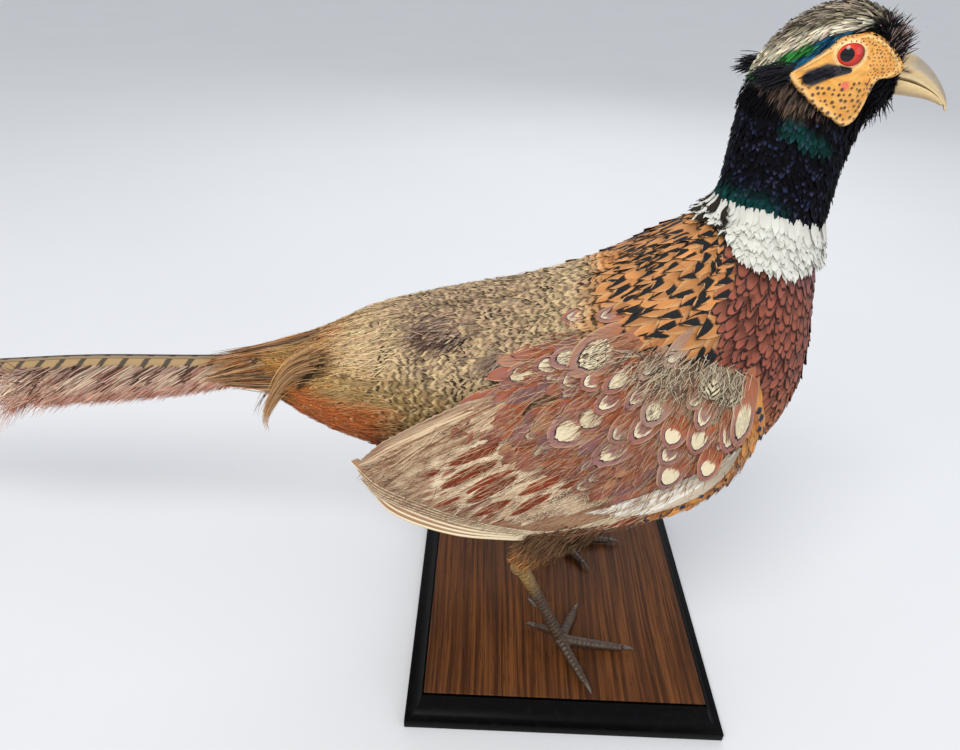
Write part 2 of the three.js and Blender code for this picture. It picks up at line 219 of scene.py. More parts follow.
def grid_faces(rows, cols, closed=False):
    """Quads of one grid of points; closed joins its last column to its first."""
    row, col = np.meshgrid(np.arange(rows - 1), np.arange(cols if closed else cols - 1), indexing="ij")
    after = (col + 1) % cols
    return np.stack([row * cols + col, (row + 1) * cols + col,
                     (row + 1) * cols + after, row * cols + after], -1).reshape(-1, 4)


def spline(points, count):
    """count points evenly along a smooth curve through the given ones (Catmull-Rom)."""
    points = np.asarray(points, float)
    ends = np.concatenate([[2 * points[0] - points[1]], points, [2 * points[-1] - points[-2]]])
    at = np.linspace(0, len(points) - 1, 24 * len(points))
    i = np.minimum(at.astype(int), len(points) - 2)
    t = (at - i)[:, None]
    a, b, c, d = ends[i], ends[i + 1], ends[i + 2], ends[i + 3]
    square, cube = 2 * a - 5 * b + 4 * c - d, 3 * b - a - 3 * c + d
    curve = 0.5 * (2 * b + (c - a) * t + square * t ** 2 + cube * t ** 3)
    run = np.concatenate([[0], np.cumsum(np.linalg.norm(np.diff(curve, axis=0), axis=1))])
    even = np.linspace(0, run[-1], count)
    return np.stack([np.interp(even, run, curve[:, k]) for k in range(curve.shape[1])], -1)


def inside_outline(outline, x, z, grow=0.0):
    """Which points of the side view are inside an outline, grown by some mm (negative shrinks)."""
    outline = np.asarray(outline, float)
    middle = outline.mean(0)
    out = outline - middle
    outline = middle + out * (1 + grow / np.linalg.norm(out, axis=1, keepdims=True))
    inside = np.zeros(np.shape(x), bool)
    for (x1, z1), (x2, z2) in zip(outline, np.roll(outline, -1, 0)):
        crosses = (z1 > z) != (z2 > z)
        inside ^= crosses & (x < (x2 - x1) * (z - z1) / (z2 - z1 + 1e-12) + x1)
    return inside


# ---- Finishes: a small language for node trees ----

def sum_node(operation, turned=False):
    """A method of Term that adds one math node."""
    def method(term, other=0.0):
        return term.finish.math(operation, *((other, term) if turned else (term, other)))
    return method


class Term:
    """A number or colour inside a finish, which takes part in sums as a number does."""

    def __init__(self, finish, socket):
        self.finish, self.socket = finish, socket

    __add__ = __radd__ = sum_node("ADD")
    __mul__ = __rmul__ = sum_node("MULTIPLY")
    __sub__, __rsub__, __pow__ = sum_node("SUBTRACT"), sum_node("SUBTRACT", True), sum_node("POWER")
    size, fraction = sum_node("ABSOLUTE"), sum_node("FRACT")
    least, most = sum_node("MINIMUM"), sum_node("MAXIMUM")

    def step(self, low, high):
        """0 below low and 1 above high, smooth between; low may be the larger."""
        ends = {"From Min": min(low, high), "From Max": max(low, high),
                "To Min": 1.0 if low > high else 0.0, "To Max": 0.0 if low > high else 1.0}
        return self.finish.made("MapRange", {"Value": self, **ends}, "Result", interpolation_type="SMOOTHSTEP")


class Finish:
    """A Principled material under construction."""

    def __init__(self, name, rough=0.6, specular=0.5, sheen=0.0, coat=0.0):
        self.material = bpy.data.materials.new(name)
        self.material.use_nodes = True
        self.tree = self.material.node_tree
        self.shader = self.tree.nodes["Principled BSDF"]
        for socket, value in {"Roughness": rough, "Specular IOR Level": specular,
                              "Sheen Weight": sheen, "Coat Weight": coat}.items():
            self.shader.inputs[socket].default_value = value

    def feed(self, socket, value):
        if isinstance(value, Term):
            self.tree.links.new(value.socket, socket)
        elif socket.type == "RGBA":
            socket.default_value = (*np.asarray(value, float)[:3], 1)
        else:
            socket.default_value = value

    def made(self, kind, inputs, out=0, **settings):
        """One output of a new node, its inputs fed by name or number."""
        node = self.tree.nodes.new("ShaderNode" + kind)
        for name, value in settings.items():
            setattr(node, name, value)
        for name, value in inputs.items():
            self.feed(node.inputs[name], value)
        return Term(self, node.outputs[out])

    def math(self, operation, first, second=0.0):
        return self.made("Math", {0: first, 1: second}, operation=operation)

    def attribute(self, name):
        """The colour and the alpha of a mesh's colour attribute."""
        colour = self.made("Attribute", {}, "Color", attribute_name=name)
        return colour, Term(self, colour.socket.node.outputs["Alpha"])

    def parts(self, colour):
        """The three channels of a colour or vector."""
        first = self.made("SeparateXYZ", {0: colour})
        return [Term(self, out) for out in first.socket.node.outputs]

    def uv(self, name):
        return self.parts(self.made("UVMap", {}, "UV", uv_map=name))[:2]

    def place(self):
        """Object coordinates, in metres."""
        return self.made("TexCoord", {}, "Object")

    def vector(self, x, y, z=0.0):
        return self.made("CombineXYZ", {0: x, 1: y, 2: z})

    def noise(self, where, scale=1.0, detail=2.0, roughness=0.5):
        inputs = {"Vector": where, "Scale": scale, "Detail": detail, "Roughness": roughness}
        return self.made("TexNoise", inputs, "Fac")

    def cells(self, where, scale):
        return self.made("TexVoronoi", {"Vector": where, "Scale": scale}, "Distance")

    def mix(self, share, first, second, way="MIX"):
        return self.made("Mix", {"Factor": share, 6: first, 7: second}, 2, data_type="RGBA", blend_type=way)

    def over(self, share, colour):
        """Lays a colour over the finish's own."""
        self.colour = self.mix(share, self.colour, colour)

    def shade(self, colour, amount):
        """A colour made lighter or darker: amount 1 leaves it."""
        return self.mix(1.0, colour, self.vector(amount, amount, amount), "MULTIPLY")

    def done(self, colour, bump=None, strength=0.3, distance=0.0005, rough=None):
        self.feed(self.shader.inputs["Base Color"], colour)
        if rough is not None:
            self.feed(self.shader.inputs["Roughness"], rough)
        if bump is not None:
            inputs = {"Strength": strength, "Distance": distance, "Height": bump}
            self.feed(self.shader.inputs["Normal"], self.made("Bump", inputs, "Normal"))
        return self.material


class VaneFinish(Finish):
    """A feather's finish. across runs from -1 to 1 over the vane and along from root to tip."""

    def __init__(self, name, rough=0.7, specular=0.16, barbs=34.0):
        super().__init__(name, rough, specular)
        u, self.along = self.uv("Vane")
        self.across = u * 2 - 1
        self.off = self.across.size()
        self.tint, self.own = self.attribute("Tint")
        self.colour = self.tint
        lie = self.along - self.off * 0.4
        self.streak = self.noise(self.vector(self.across * 1.3, lie * barbs, self.own * 61.0), 1.0, 2.0, 0.65)
        self.blotch = self.grain(2.2, 4.0, 37.0)

    def grain(self, across, along, own, detail=2.0, roughness=0.5):
        """Noise stretched over the vane, different on each feather."""
        where = self.vector(self.across * across, self.along * along, self.own * own)
        return self.noise(where, 1.0, detail, roughness)

    def marks(self):
        """The three values that each feather's own mark holds."""
        return self.parts(self.attribute("Mark")[0])

    def darken(self, amount):
        self.colour = self.shade(self.colour, amount)

    def streaked(self, contrast=0.9):
        """The finished material, its colour streaked along the barbs."""
        lit = self.shade(self.colour, self.streak * contrast + (1 - contrast / 2))
        return self.done(lit, self.streak, 0.35)


def hair_finish(name, rough=0.65, contrast=1.1):
    """Loose barbs and hairlike feathers: their own tint, with painted shade that darkens each towards its root,
    where it lies under the others.
    """
    paint = Finish(name, rough, 0.18)
    u, along = paint.uv("Vane")
    tint, own = paint.attribute("Tint")
    streak = paint.noise(paint.vector(u * 6.0, along * 1.5, own * 53.0), 1.0, 2.0)
    # painted shade: each strand is darker towards its root (along * 0.5 + 0.62)
    shade = (streak * contrast + (1 - contrast / 2)) * (along * 0.5 + 0.62)
    return paint.done(paint.shade(tint, shade), streak, 0.4)


def plain_plume_finish(name, rough=0.7, specular=0.16, painted_root_shade=0.5, contrast=0.8):
    """Small feathers in one tint each, with barbs and painted shade that darkens each towards its root, where
    the feathers above overlap it.
    """
    paint = VaneFinish(name, rough, specular, 16.0)
    # painted shade: each feather is darker towards its root, where the feathers above overlap it
    paint.darken(paint.along * painted_root_shade + (1 - painted_root_shade * 0.7))
    return paint.streaked(contrast)


CREAM = rgb(216, 202, 168)
MAUVE = rgb(136, 98, 96)
WHITE = rgb(206, 205, 195)


def breast_finish():
    """Coppery scales with a fine black edge and a pale bloom over the middle."""
    paint = VaneFinish("breast_scales", 0.55, 0.2)
    paint.over(paint.blotch.step(0.42, 0.72) * 0.3, rgb(146, 98, 80))
    # painted shade: each scale is darker towards its root, where the scales above overlap it
    paint.darken(paint.along.step(0.35, 0.8) * 0.6 + 0.42)
    fray = paint.streak * 0.08 - 0.04
    edge = (paint.off + fray).step(0.6, 0.78) * paint.along.step(0.45, 0.6)
    rim = edge.most((paint.along + fray).step(0.87, 0.93))
    paint.over(rim * 0.94, rgb(24, 14, 14))
    return paint.streaked()


def mantle_finish():
    """Golden scales, each with a black wedge that fills one side of its tip."""
    paint = VaneFinish("mantle_scales", 0.6, 0.15)
    paint.over(paint.off.step(0.5, 0.95) * 0.5, rgb(206, 166, 116))
    # painted shade: each scale is darker towards its root, where the feathers above overlap it
    paint.darken(paint.along.step(0.15, 0.6) * 0.5 + 0.5)
    amount, way, _ = paint.marks()
    beside = paint.across * (way * 2 - 1)
    fray = paint.streak * 0.14 - 0.07
    black = (beside + fray + (paint.along - 0.66) * 0.8).step(-0.06, 0.0) * (paint.along + fray).step(0.5, 0.56)
    black = black * (paint.along + beside * 0.34 + fray).step(1.1, 1.06) * amount.step(0.3, 0.35)
    paint.over(black, rgb(27, 28, 29))
    rim = paint.along + paint.off ** 3 * 0.12 + paint.streak * 0.04
    paint.over(rim.step(0.94, 0.98) * 0.9, rgb(30, 24, 20))
    return paint.streaked(0.8)


def back_finish():
    """Tan to olive feathers with black scalloped squiggles and a buff fringe."""
    paint = VaneFinish("back_plumage", 0.7, 0.15)
    squiggle, _, _ = paint.marks()
    wave = paint.grain(2.4, 3.0, 91.0, 1.0)
    arc = paint.along + paint.off ** 2.0 * 0.14 + wave * 0.3
    dark = arc.step(0.84, 0.9) * arc.step(1.04, 0.97) + arc.step(0.5, 0.56) * arc.step(0.72, 0.66)
    dark = dark * squiggle * wave.step(0.34, 0.42)
    paint.over(paint.along.step(0.8, 1.0) * 0.45, rgb(206, 182, 138))
    paint.over(dark.least(1.0), rgb(38, 29, 22))
    # painted shade: each feather is darker towards its root, where the feathers above overlap it
    paint.darken(paint.along * 0.6 + 0.6)
    return paint.streaked()


def covert_finish():
    """Wing coverts: a cream drop or crescent with black round its tip, in mauve and chestnut barbs."""
    paint = VaneFinish("wing_coverts", 0.65, 0.15, barbs=44.0)
    drop, scribble, grey = paint.marks()
    hairs = paint.grain(7.0, 2.2, 47.0, 2.0, 0.6)
    wobble = paint.streak * 0.16 + paint.blotch * 0.16 - 0.16
    run = (paint.along - 0.7) * 5.6
    wide = (paint.across * 1.75) ** 2.0
    ring = (wide + run.most(0.0) ** 2.0 + (run.least(0.0) * 0.8) ** 2.0) ** 0.5 + wobble
    inner = (wide * 1.2 + ((paint.along - 0.6) * 5.2) ** 2.0) ** 0.5 + hairs * 1.6 - 0.8
    hollow = inner.step(1.15, 0.8) * drop.step(0.8, 0.7)
    root_side = (paint.along + hairs * 0.4 - 0.2).step(0.5, 0.57)
    present = drop.step(0.2, 0.3)
    cream_part = ring.step(1.05, 0.99) * present * (1 - hollow * 0.95) * root_side
    edge = ring.step(1.0, 1.05) * ring.step(1.2, 1.12) * present
    edge = edge * (paint.along + paint.blotch * 0.3).step(0.78, 0.92)
    paint.over(hairs.step(0.4, 0.6) * 0.75, MAUVE)
    paint.over(ring.step(1.75, 1.2) * paint.along.step(0.6, 0.7) * present * 0.85, MAUVE)
    paint.over(paint.along.step(0.62, 0.4) * hairs.step(0.3, 0.6), rgb(160, 84, 48))
    paint.over((paint.off + hairs * 0.3).step(0.95, 1.15) * 0.5, rgb(200, 166, 132))
    paint.over(grey, rgb(172, 158, 132))
    lines = (hairs * 7.0 + paint.streak * 0.8).fraction().step(0.5, 0.6)
    cream = paint.mix(paint.streak.step(0.5, 0.85) * 0.35, CREAM, rgb(176, 146, 108))
    cream = paint.mix(lines * scribble, cream, rgb(52, 41, 32))
    paint.over(lines * grey * (paint.along.step(0.55, 0.3) * 0.5 + 0.4), rgb(66, 54, 44))
    paint.over(cream_part, cream)
    chevron = (paint.along + paint.off * 0.42 + wobble * 0.25) * 5.5
    stripe = chevron.fraction().step(0.5, 0.58) * chevron.fraction().step(0.95, 0.87)
    stripe = stripe * paint.along.step(0.5, 0.6)
    paint.over(stripe * grey.step(0.6, 0.75), rgb(58, 52, 44))
    paint.over(edge * 0.95, rgb(26, 20, 20))
    return paint.streaked(0.85)


def flank_finish():
    """Golden flank feathers, some tipped with a glossy blue-black spot, and the whitish ones beside them."""
    paint = VaneFinish("flank_plumage", 0.5, 0.25, barbs=60.0)
    spot, _, _ = paint.marks()
    fray = paint.streak * 0.12 - 0.06
    tip = (paint.along + fray - paint.off * 0.12).step(0.7, 0.76) * (paint.along + fray).step(0.99, 0.95) * spot
    paint.over(paint.blotch.step(0.5, 0.75) * 0.35, rgb(120, 84, 56))
    paint.over(tip, rgb(14, 30, 52))
    # painted shade: each feather is darker towards its root, where the feathers above overlap it
    paint.darken(paint.along.step(0.0, 0.6) * 0.5 + 0.5)
    return paint.streaked(1.0)


def streaked_finish():
    """Secondaries: cream with chestnut lenses or black scribbles, and tan with strokes at the end."""
    paint = VaneFinish("secondary_vanes", 0.62, 0.15, barbs=110.0)
    amount, _, _ = paint.marks()
    fray = paint.streak * 0.2 - 0.1
    hairs = paint.grain(9.0, 3.0, 31.0, 2.0, 0.6)
    cell = (paint.along * 2.2 + paint.own * 5.0).fraction()
    lens = ((cell - 0.5) * 2.3) ** 2.0 + ((paint.across - 0.36) * 1.7) ** 2.0
    lens = (lens + fray * 2.2 + hairs * 1.1 - 0.55).step(1.04, 0.84) * amount
    scribbled = paint.own.step(0.7, 0.74)
    paint.colour = paint.mix(hairs.step(0.44, 0.62) * 0.6, rgb(248, 230, 194), rgb(198, 150, 114))
    paint.over(paint.blotch.step(0.55, 0.68) * 0.7, rgb(156, 104, 88))
    paint.over((1 - amount) * 0.5, rgb(196, 158, 116))
    paint.over(hairs.step(0.5, 0.6) * (1 - amount) * 0.6, rgb(152, 92, 72))
    strokes = (paint.streak + hairs * 0.6).step(0.76, 0.86) * (1 - amount)
    paint.over(strokes * 0.6, rgb(96, 66, 44))
    scribble = paint.grain(6.0, 30.0, 13.0, 1.0)
    lines = (scribble * 5.0).fraction().step(0.55, 0.65) * cell.step(0.12, 0.3) * cell.step(0.9, 0.75) * amount
    paint.over(lines * scribbled * paint.off.step(0.85, 0.7) * 0.9, rgb(48, 36, 30))
    paint.over(lens * (1 - scribbled), paint.tint)
    paint.over(paint.off.step(0.05, 0.02) * 0.7, rgb(230, 206, 168))
    paint.over(paint.off.step(0.84, 0.96) * 0.75, rgb(250, 234, 200))
    # painted shadow: the upper web darkens where the feather above overlaps it
    paint.over(paint.across.step(-0.2, -0.8) * 0.6, rgb(104, 62, 44))
    return paint.streaked(1.0)


def primary_finish():
    """Primaries: grey tan with small white teeth below the shaft and a pale outer edge."""
    paint = VaneFinish("primary_vanes", 0.55, 0.2, barbs=120.0)
    teeth = (paint.along * 19.0 + paint.off * 0.8).fraction()
    pale = teeth.step(0.7, 0.78) * paint.across.step(-0.1, 0.1) * paint.along.step(0.8, 0.6)
    paint.over(paint.streak.step(0.4, 0.7) * 0.4, rgb(206, 176, 144))
    paint.over(pale * 0.8, rgb(226, 212, 188))
    paint.over(paint.across.step(0.6, 0.9) * 0.8, rgb(222, 196, 160))
    return paint.streaked(0.6)


def tail_finish():
    """Tail vanes: buff with a dark bar every 15 mm, browner towards the outer edge."""
    paint = VaneFinish("tail_vanes", 0.6, 0.2, barbs=150.0)
    run, out, _ = paint.marks()
    bar = (run * 66.0 - out * 50.0 + paint.blotch * 0.2).fraction()
    dark = bar.step(0.36, 0.46) * bar.step(0.74, 0.64) * out.step(0.013, 0.008)
    paint.over(out.step(0.006, 0.014) * 0.9, rgb(150, 114, 94))
    paint.over(out.step(0.0016, 0.0008) * 0.8, rgb(118, 112, 104))
    paint.over(dark * 0.9, rgb(58, 54, 50))
    return paint.streaked(0.7)


def skin_finish():
    """Down and skin under the feathers, in the markings of the coat over it, darkened as painted shade of the
    feathers that lie over it.
    """
    paint = Finish("skin_under_plumage", 0.9, 0.05)
    tint, _ = paint.attribute("Tint")
    fluff = paint.noise(paint.place(), 900.0, 3.0, 0.7)
    # painted shade: the tint is darkened to between 0.15 and 0.65 of itself, with down texture in the noise
    return paint.done(paint.shade(tint, fluff * 0.5 + 0.15), fluff, 0.5, 0.001)


# ---- Sheets that feathers lie on ----

class Sheet:
    """A smooth grid of points with outward normals. Feathers lie from high rows to low ones."""

    def __init__(self, points, outward, closed=False):
        self.points, self.closed = points, closed
        self.along = np.gradient(points, axis=0)
        if closed:
            self.across = (np.roll(points, -1, 1) - np.roll(points, 1, 1)) / 2
        else:
            self.across = np.gradient(points, axis=1)
        normal = unit(np.cross(self.along, self.across))
        sign = np.sign((normal * outward).sum())
        self.normals = normal * sign
        self.shape = points.shape[:2]

    def read(self, table, row, col):
        """A table's values between grid points."""
        rows, cols = self.shape
        row = np.clip(row, 0, rows - 1.001)
        col = np.mod(col, cols) if self.closed else np.clip(col, 0, cols - 1.001)
        r, c = row.astype(int), np.minimum(col.astype(int), cols - 1)
        fr, fc = (row - r)[..., None], (col - c)[..., None]
        after = (c + 1) % cols
        return ((table[r, c] * (1 - fr) + table[r + 1, c] * fr) * (1 - fc)
                + (table[r, after] * (1 - fr) + table[r + 1, after] * fr) * fc)

    def at(self, row, col):
        return self.read(self.points, row, col)


def scatter(sheet, spacing, wanted, seed, rounds=8, trial=16):
    """Roots spread evenly over the part of a sheet where wanted(points) holds, spacing(points) mm apart."""
    random = chance(seed)
    cell = np.linalg.norm(np.cross(sheet.along, sheet.across), axis=-1)
    gap = spacing(sheet.points) * np.ones(sheet.shape)
    weight = cell * 1.15 / gap ** 2 * wanted(sheet.points)
    weight[-1] = 0
    count = max(3, int(weight.sum()))
    pick = random.choice(weight.size, trial * count, p=(weight / weight.sum()).ravel())
    row = pick // sheet.shape[1] + random.random(len(pick))
    col = pick % sheet.shape[1] + random.random(len(pick))
    trials = sheet.at(row, col).astype(np.float32)
    local = gap.ravel()[pick].astype(np.float32)
    chosen = random.choice(len(pick), count, replace=False)
    for _ in range(rounds):
        seeds = trials[chosen]
        squares = (seeds ** 2).sum(1)
        owner = np.concatenate([np.argmin(squares - 2 * trials[i:i + 4096] @ seeds.T, 1)
                                for i in range(0, len(trials), 4096)])
        size = np.maximum(np.bincount(owner, minlength=len(seeds)), 1)
        middle = np.stack([np.bincount(owner, trials[:, k], len(seeds)) / size for k in range(3)], -1)
        far = ((trials - middle[owner]) ** 2).sum(1) / local
        order = np.lexsort((far, owner))
        _, first = np.unique(owner[order], return_index=True)
        chosen = order[first]
    return row[chosen], col[chosen]


def round_tip(a):
    """Half width along a feather with a rounded tip, narrow at its root."""
    return np.sqrt(np.clip(1 - (np.clip(a - 0.5, 0, 1) / 0.505) ** 2, 0, 1)) * (0.35 + 0.65 * ease(a, 0, 0.45))


def pointed_tip(a):
    """Half width along a feather that narrows to a point."""
    return np.clip(1 - np.clip(a - 0.45, 0, 1) / 0.57, 0.04, 1) ** 0.8 * (0.4 + 0.6 * ease(a, 0, 0.4))


def lozenge(a):
    """Half width along a scale with a blunt point."""
    return np.clip(1 - np.clip(a - 0.62, 0, 1) / 0.43, 0.1, 1) ** 0.75 * (0.5 + 0.5 * ease(a, 0, 0.4))


def strand(a):
    """Half width along a loose barb."""
    return 1 - 0.85 * a


def lay(sheet, row, col, length, width, lift, seed, rows=6, cols=4, outline=round_tip, turn=0.0, base=0.0,
        camber=0.1, rag=0.05, bend=0.0, roll=0.12, ease_in=1.2):
    """Vanes that follow a sheet from their roots, rising to their lift at the tip: (n, rows+1, cols+1, 3)."""
    random = chance(seed)
    count = len(row)

    def full(value):
        return (np.zeros(count) + value)[:, None, None]

    along, across = sheet.read(sheet.along, row, col), sheet.read(sheet.across, row, col)
    normal = unit(sheet.read(sheet.normals, row, col))
    flow = unit(-along)
    side = unit(np.cross(normal, flow))
    turned = (np.zeros(count) + turn)[:, None]
    flow, side = flow * np.cos(turned) + side * np.sin(turned), side * np.cos(turned) - flow * np.sin(turned)
    a = np.linspace(0, 1, rows + 1)[None, :, None]
    b = np.linspace(-1, 1, cols + 1)[None, None, :]
    ragged = rag * bell(random, count, rows + 1, cols + 1) * a ** 3
    go = full(length) * (a + ragged)
    out = full(width) / 2 * outline(a) * b + full(bend) * full(length) * a ** 2
    step = flow[:, None, None] * go[..., None] + side[:, None, None] * out[..., None]
    near, wide = along[:, None, None], across[:, None, None]
    g11, g12, g22 = (near * near).sum(-1), (near * wide).sum(-1), (wide * wide).sum(-1)
    det = np.maximum(g11 * g22 - g12 ** 2, 1e-9)
    p, q = (step * near).sum(-1), (step * wide).sum(-1)
    at_row = row[:, None, None] + (g22 * p - g12 * q) / det
    at_col = col[:, None, None] + (g11 * q - g12 * p) / det
    height = (full(base) + full(lift) * a ** ease_in * (1 + 0.25 * full(bell(random, count)))
              + camber * full(width) * (1 - b ** 2) * np.sin(np.pi * np.clip(a, 0, 0.9))
              + roll * full(bell(random, count)) * full(width) / 2 * b * a)
    up = unit(sheet.read(sheet.normals, at_row, at_col))
    return sheet.at(at_row, at_col) + up * height[..., None]


class Coat:
    """Vanes gathered into one piece."""

    def __init__(self, name, finish, slot):
        self.name, self.finish, self.slot = name, finish, slot
        self.batches = []

    def add(self, grid, tint, place, seed, mark=None, flip=False):
        """grid (n, rows, cols, 3), tint (n, 3) or per point, and each root's place (n, 2) on the unwrap."""
        n, rows, cols, _ = grid.shape
        random = chance(seed)
        u, v = np.meshgrid(np.linspace(0, 1, cols), np.linspace(0, 1, rows))
        vane = np.broadcast_to(np.stack([u, v], -1), (n, rows, cols, 2))
        tint = tint.reshape(n, 1, 1, 3) if tint.ndim == 2 else tint
        own = random.random(n)[:, None, None, None]
        tint = np.concatenate([np.broadcast_to(tint, (n, rows, cols, 3)),
                               np.broadcast_to(own, (n, rows, cols, 1))], -1)
        mark = np.zeros((n, 3)) if mark is None else mark
        mark = mark.reshape(n, 1, 1, 3) if mark.ndim == 2 else mark
        patch = place[:, None, None] * (1 - PATCH) + vane * PATCH
        faces = grid_faces(rows, cols)
        if flip:
            faces = faces[:, ::-1]
        faces = (np.arange(n) * rows * cols)[:, None, None] + faces
        mark = np.broadcast_to(mark, (n, rows, cols, 3))
        self.batches.append((grid.reshape(-1, 3), faces.reshape(-1, 4), tint.reshape(-1, 4),
                             vane.reshape(-1, 2), patch.reshape(-1, 2), mark.reshape(-1, 3)))

    def add_one(self, vane, tint, place, seed, mark, side):
        """Adds one long vane of the right or the left side."""
        self.add(vane[None], tint, np.array([place]), seed, mark, side > 0)

    def made(self, *nodes):
        starts = np.cumsum([0] + [len(batch[0]) for batch in self.batches[:-1]])
        points, _, tint, vane, patch, mark = [np.concatenate(column) for column in zip(*self.batches)]
        faces = np.concatenate([batch[1] + start for batch, start in zip(self.batches, starts)])
        layers = {"OFBake": patch, "Vane": vane, "Tint": tint, "Mark": mark}
        piece = new_mesh_piece(self.name, to_row(points), faces, self.finish, layers)
        print(f"{self.name}: {2 * len(faces)} triangles")
        return keep(piece, self.slot, *nodes)


def grid_place(sheet, x, z):
    """The row and column of places of the side view on a wing's sheet."""
    return (np.interp(x, sheet.points[:, 0, 0], np.arange(sheet.shape[0])),
            np.interp(z, sheet.points[0, :, 2], np.arange(sheet.shape[1])))


def roots_on(sheet, row, col):
    """Where roots are on the unwrap of their sheet, as shares of its rows and columns."""
    rows, cols = sheet.shape
    return np.stack([np.mod(col, cols) / cols, np.clip(row, 0, rows) / rows], -1)


# ---- Camera, light and floor ----

def camera():
    """The calibrated view: a little to the right, above the board, looking down on the bird."""
    data = bpy.data.cameras.new("camera")
    data.sensor_width, data.lens = 36.0, 26.43
    data.clip_start, data.clip_end = 0.01, 60.0
    yaw, pitch, roll = (math.radians(angle) for angle in (-0.115, 31.771, 2.360))
    ahead = Vector((math.sin(yaw) * math.cos(pitch), math.cos(yaw) * math.cos(pitch), -math.sin(pitch)))
    right = Vector((math.cos(yaw), -math.sin(yaw), 0))
    up = right.cross(ahead)
    right, up = (math.cos(roll) * right + math.sin(roll) * up, math.cos(roll) * up - math.sin(roll) * right)
    piece = bpy.data.objects.new("camera", data)
    turn = Matrix((right, up, -ahead)).transposed().to_4x4()
    piece.matrix_world = Matrix.Translation((-0.06084, -0.35908, 0.42298)) @ turn
    bpy.context.scene.collection.objects.link(piece)
    bpy.context.scene.camera = piece


def soft_light(name, place, aim, side, power, tint=(1, 1, 1)):
    data = bpy.data.lights.new(name, "AREA")
    data.shape, data.size, data.energy, data.color = "DISK", side, power, tint
    piece = bpy.data.objects.new(name, data)
    piece.location = place
    piece.rotation_euler = (Vector(aim) - Vector(place)).to_track_quat("-Z", "Y").to_euler()
    bpy.context.scene.collection.objects.link(piece)


def studio():
    world = bpy.data.worlds.new("studio")
    world.use_nodes = True
    world.node_tree.nodes["Background"].inputs["Color"].default_value = (0.92, 0.95, 1.0, 1)
    world.node_tree.nodes["Background"].inputs["Strength"].default_value = 0.82
    bpy.context.scene.world = world
    bpy.context.scene.view_settings.view_transform = "Standard"
    soft_light("key_light", (-0.7, -1.1, 1.7), (0, 0, 0.2), 0.9, 24, (1.0, 0.98, 0.95))
    soft_light("fill_light", (1.3, -0.9, 0.9), (0, 0, 0.2), 1.2, 5, (0.95, 0.97, 1.0))
    soft_light("back_light", (0.3, 1.4, 1.3), (0, 0, 0.2), 1.2, 8)
    deselect_all()
    bpy.ops.mesh.primitive_plane_add(size=40, location=(0, 0, 0))
    floor = bpy.context.object
    floor.name = "floor"
    paint = Finish("pale_floor", 0.7, 0.3)
    grain = paint.noise(paint.place(), 3.0, 3.0)
    floor.data.materials.append(paint.done(paint.mix(grain, rgb(208, 209, 211), rgb(214, 215, 217))))


# ---- Board ----

def lacquer_finish():
    paint = Finish("black_lacquer", 0.45, 0.06)
    wear = paint.noise(paint.place(), 220.0, 4.0, 0.6)
    dust = paint.noise(paint.place(), 900.0, 2.0)
    colour = paint.mix(wear.step(0.5, 0.8), rgb(5, 5, 6), rgb(17, 16, 16))
    return paint.done(colour, dust, 0.06, rough=wear * 0.3 + 0.28)


def walnut_finish():
    paint = Finish("walnut", 0.5, 0.1)
    x, y, z = paint.parts(paint.place())
    wander = paint.noise(paint.vector(x * 14.0, y * 3.0, z), 1.0, 2.0) * 0.012
    rings = paint.noise(paint.vector((x + wander) * 420.0, y * 7.0, z), 1.0, 4.0, 0.65)
    broad = paint.noise(paint.vector((x + wander) * 60.0, y * 3.0, z), 1.0, 2.0)
    pores = paint.noise(paint.vector(x * 1700.0, y * 60.0, z * 1700.0), 1.0, 2.0)
    colour = paint.mix(rings.step(0.35, 0.65), rgb(56, 30, 14), rgb(104, 62, 31))
    colour = paint.mix(broad.step(0.45, 0.75) * 0.6, colour, rgb(52, 30, 17))
    colour = paint.mix(pores.step(0.6, 0.7) * 0.8, colour, rgb(24, 13, 8))
    return paint.done(colour, pores, 0.12, rough=pores * 0.15 + 0.42)


def box_piece(name, middle, size):
    deselect_all()
    bpy.ops.mesh.primitive_cube_add(size=1, location=middle, scale=size)
    piece = bpy.context.object
    piece.name = name
    bpy.ops.object.transform_apply(location=True, rotation=False, scale=True)
    return piece


def soften_edges(piece, width, segments, angle):
    """Bevels the edges sharper than an angle and shades the rest smooth."""
    edge = piece.modifiers.new("soft_edges", "BEVEL")
    edge.width, edge.segments, edge.angle_limit = width, segments, math.radians(angle)
    apply_modifiers(piece)
    bpy.ops.object.shade_smooth_by_angle(angle=math.radians(30))


def select_top(piece):
    """Selects the upward faces of a piece in edit mode."""
    bpy.ops.mesh.select_mode(type="FACE")
    bpy.ops.mesh.select_all(action="DESELECT")
    for face in bmesh.from_edit_mesh(piece.data).faces:
        face.select = face.normal.z > 0.9
    bmesh.update_edit_mesh(piece.data)


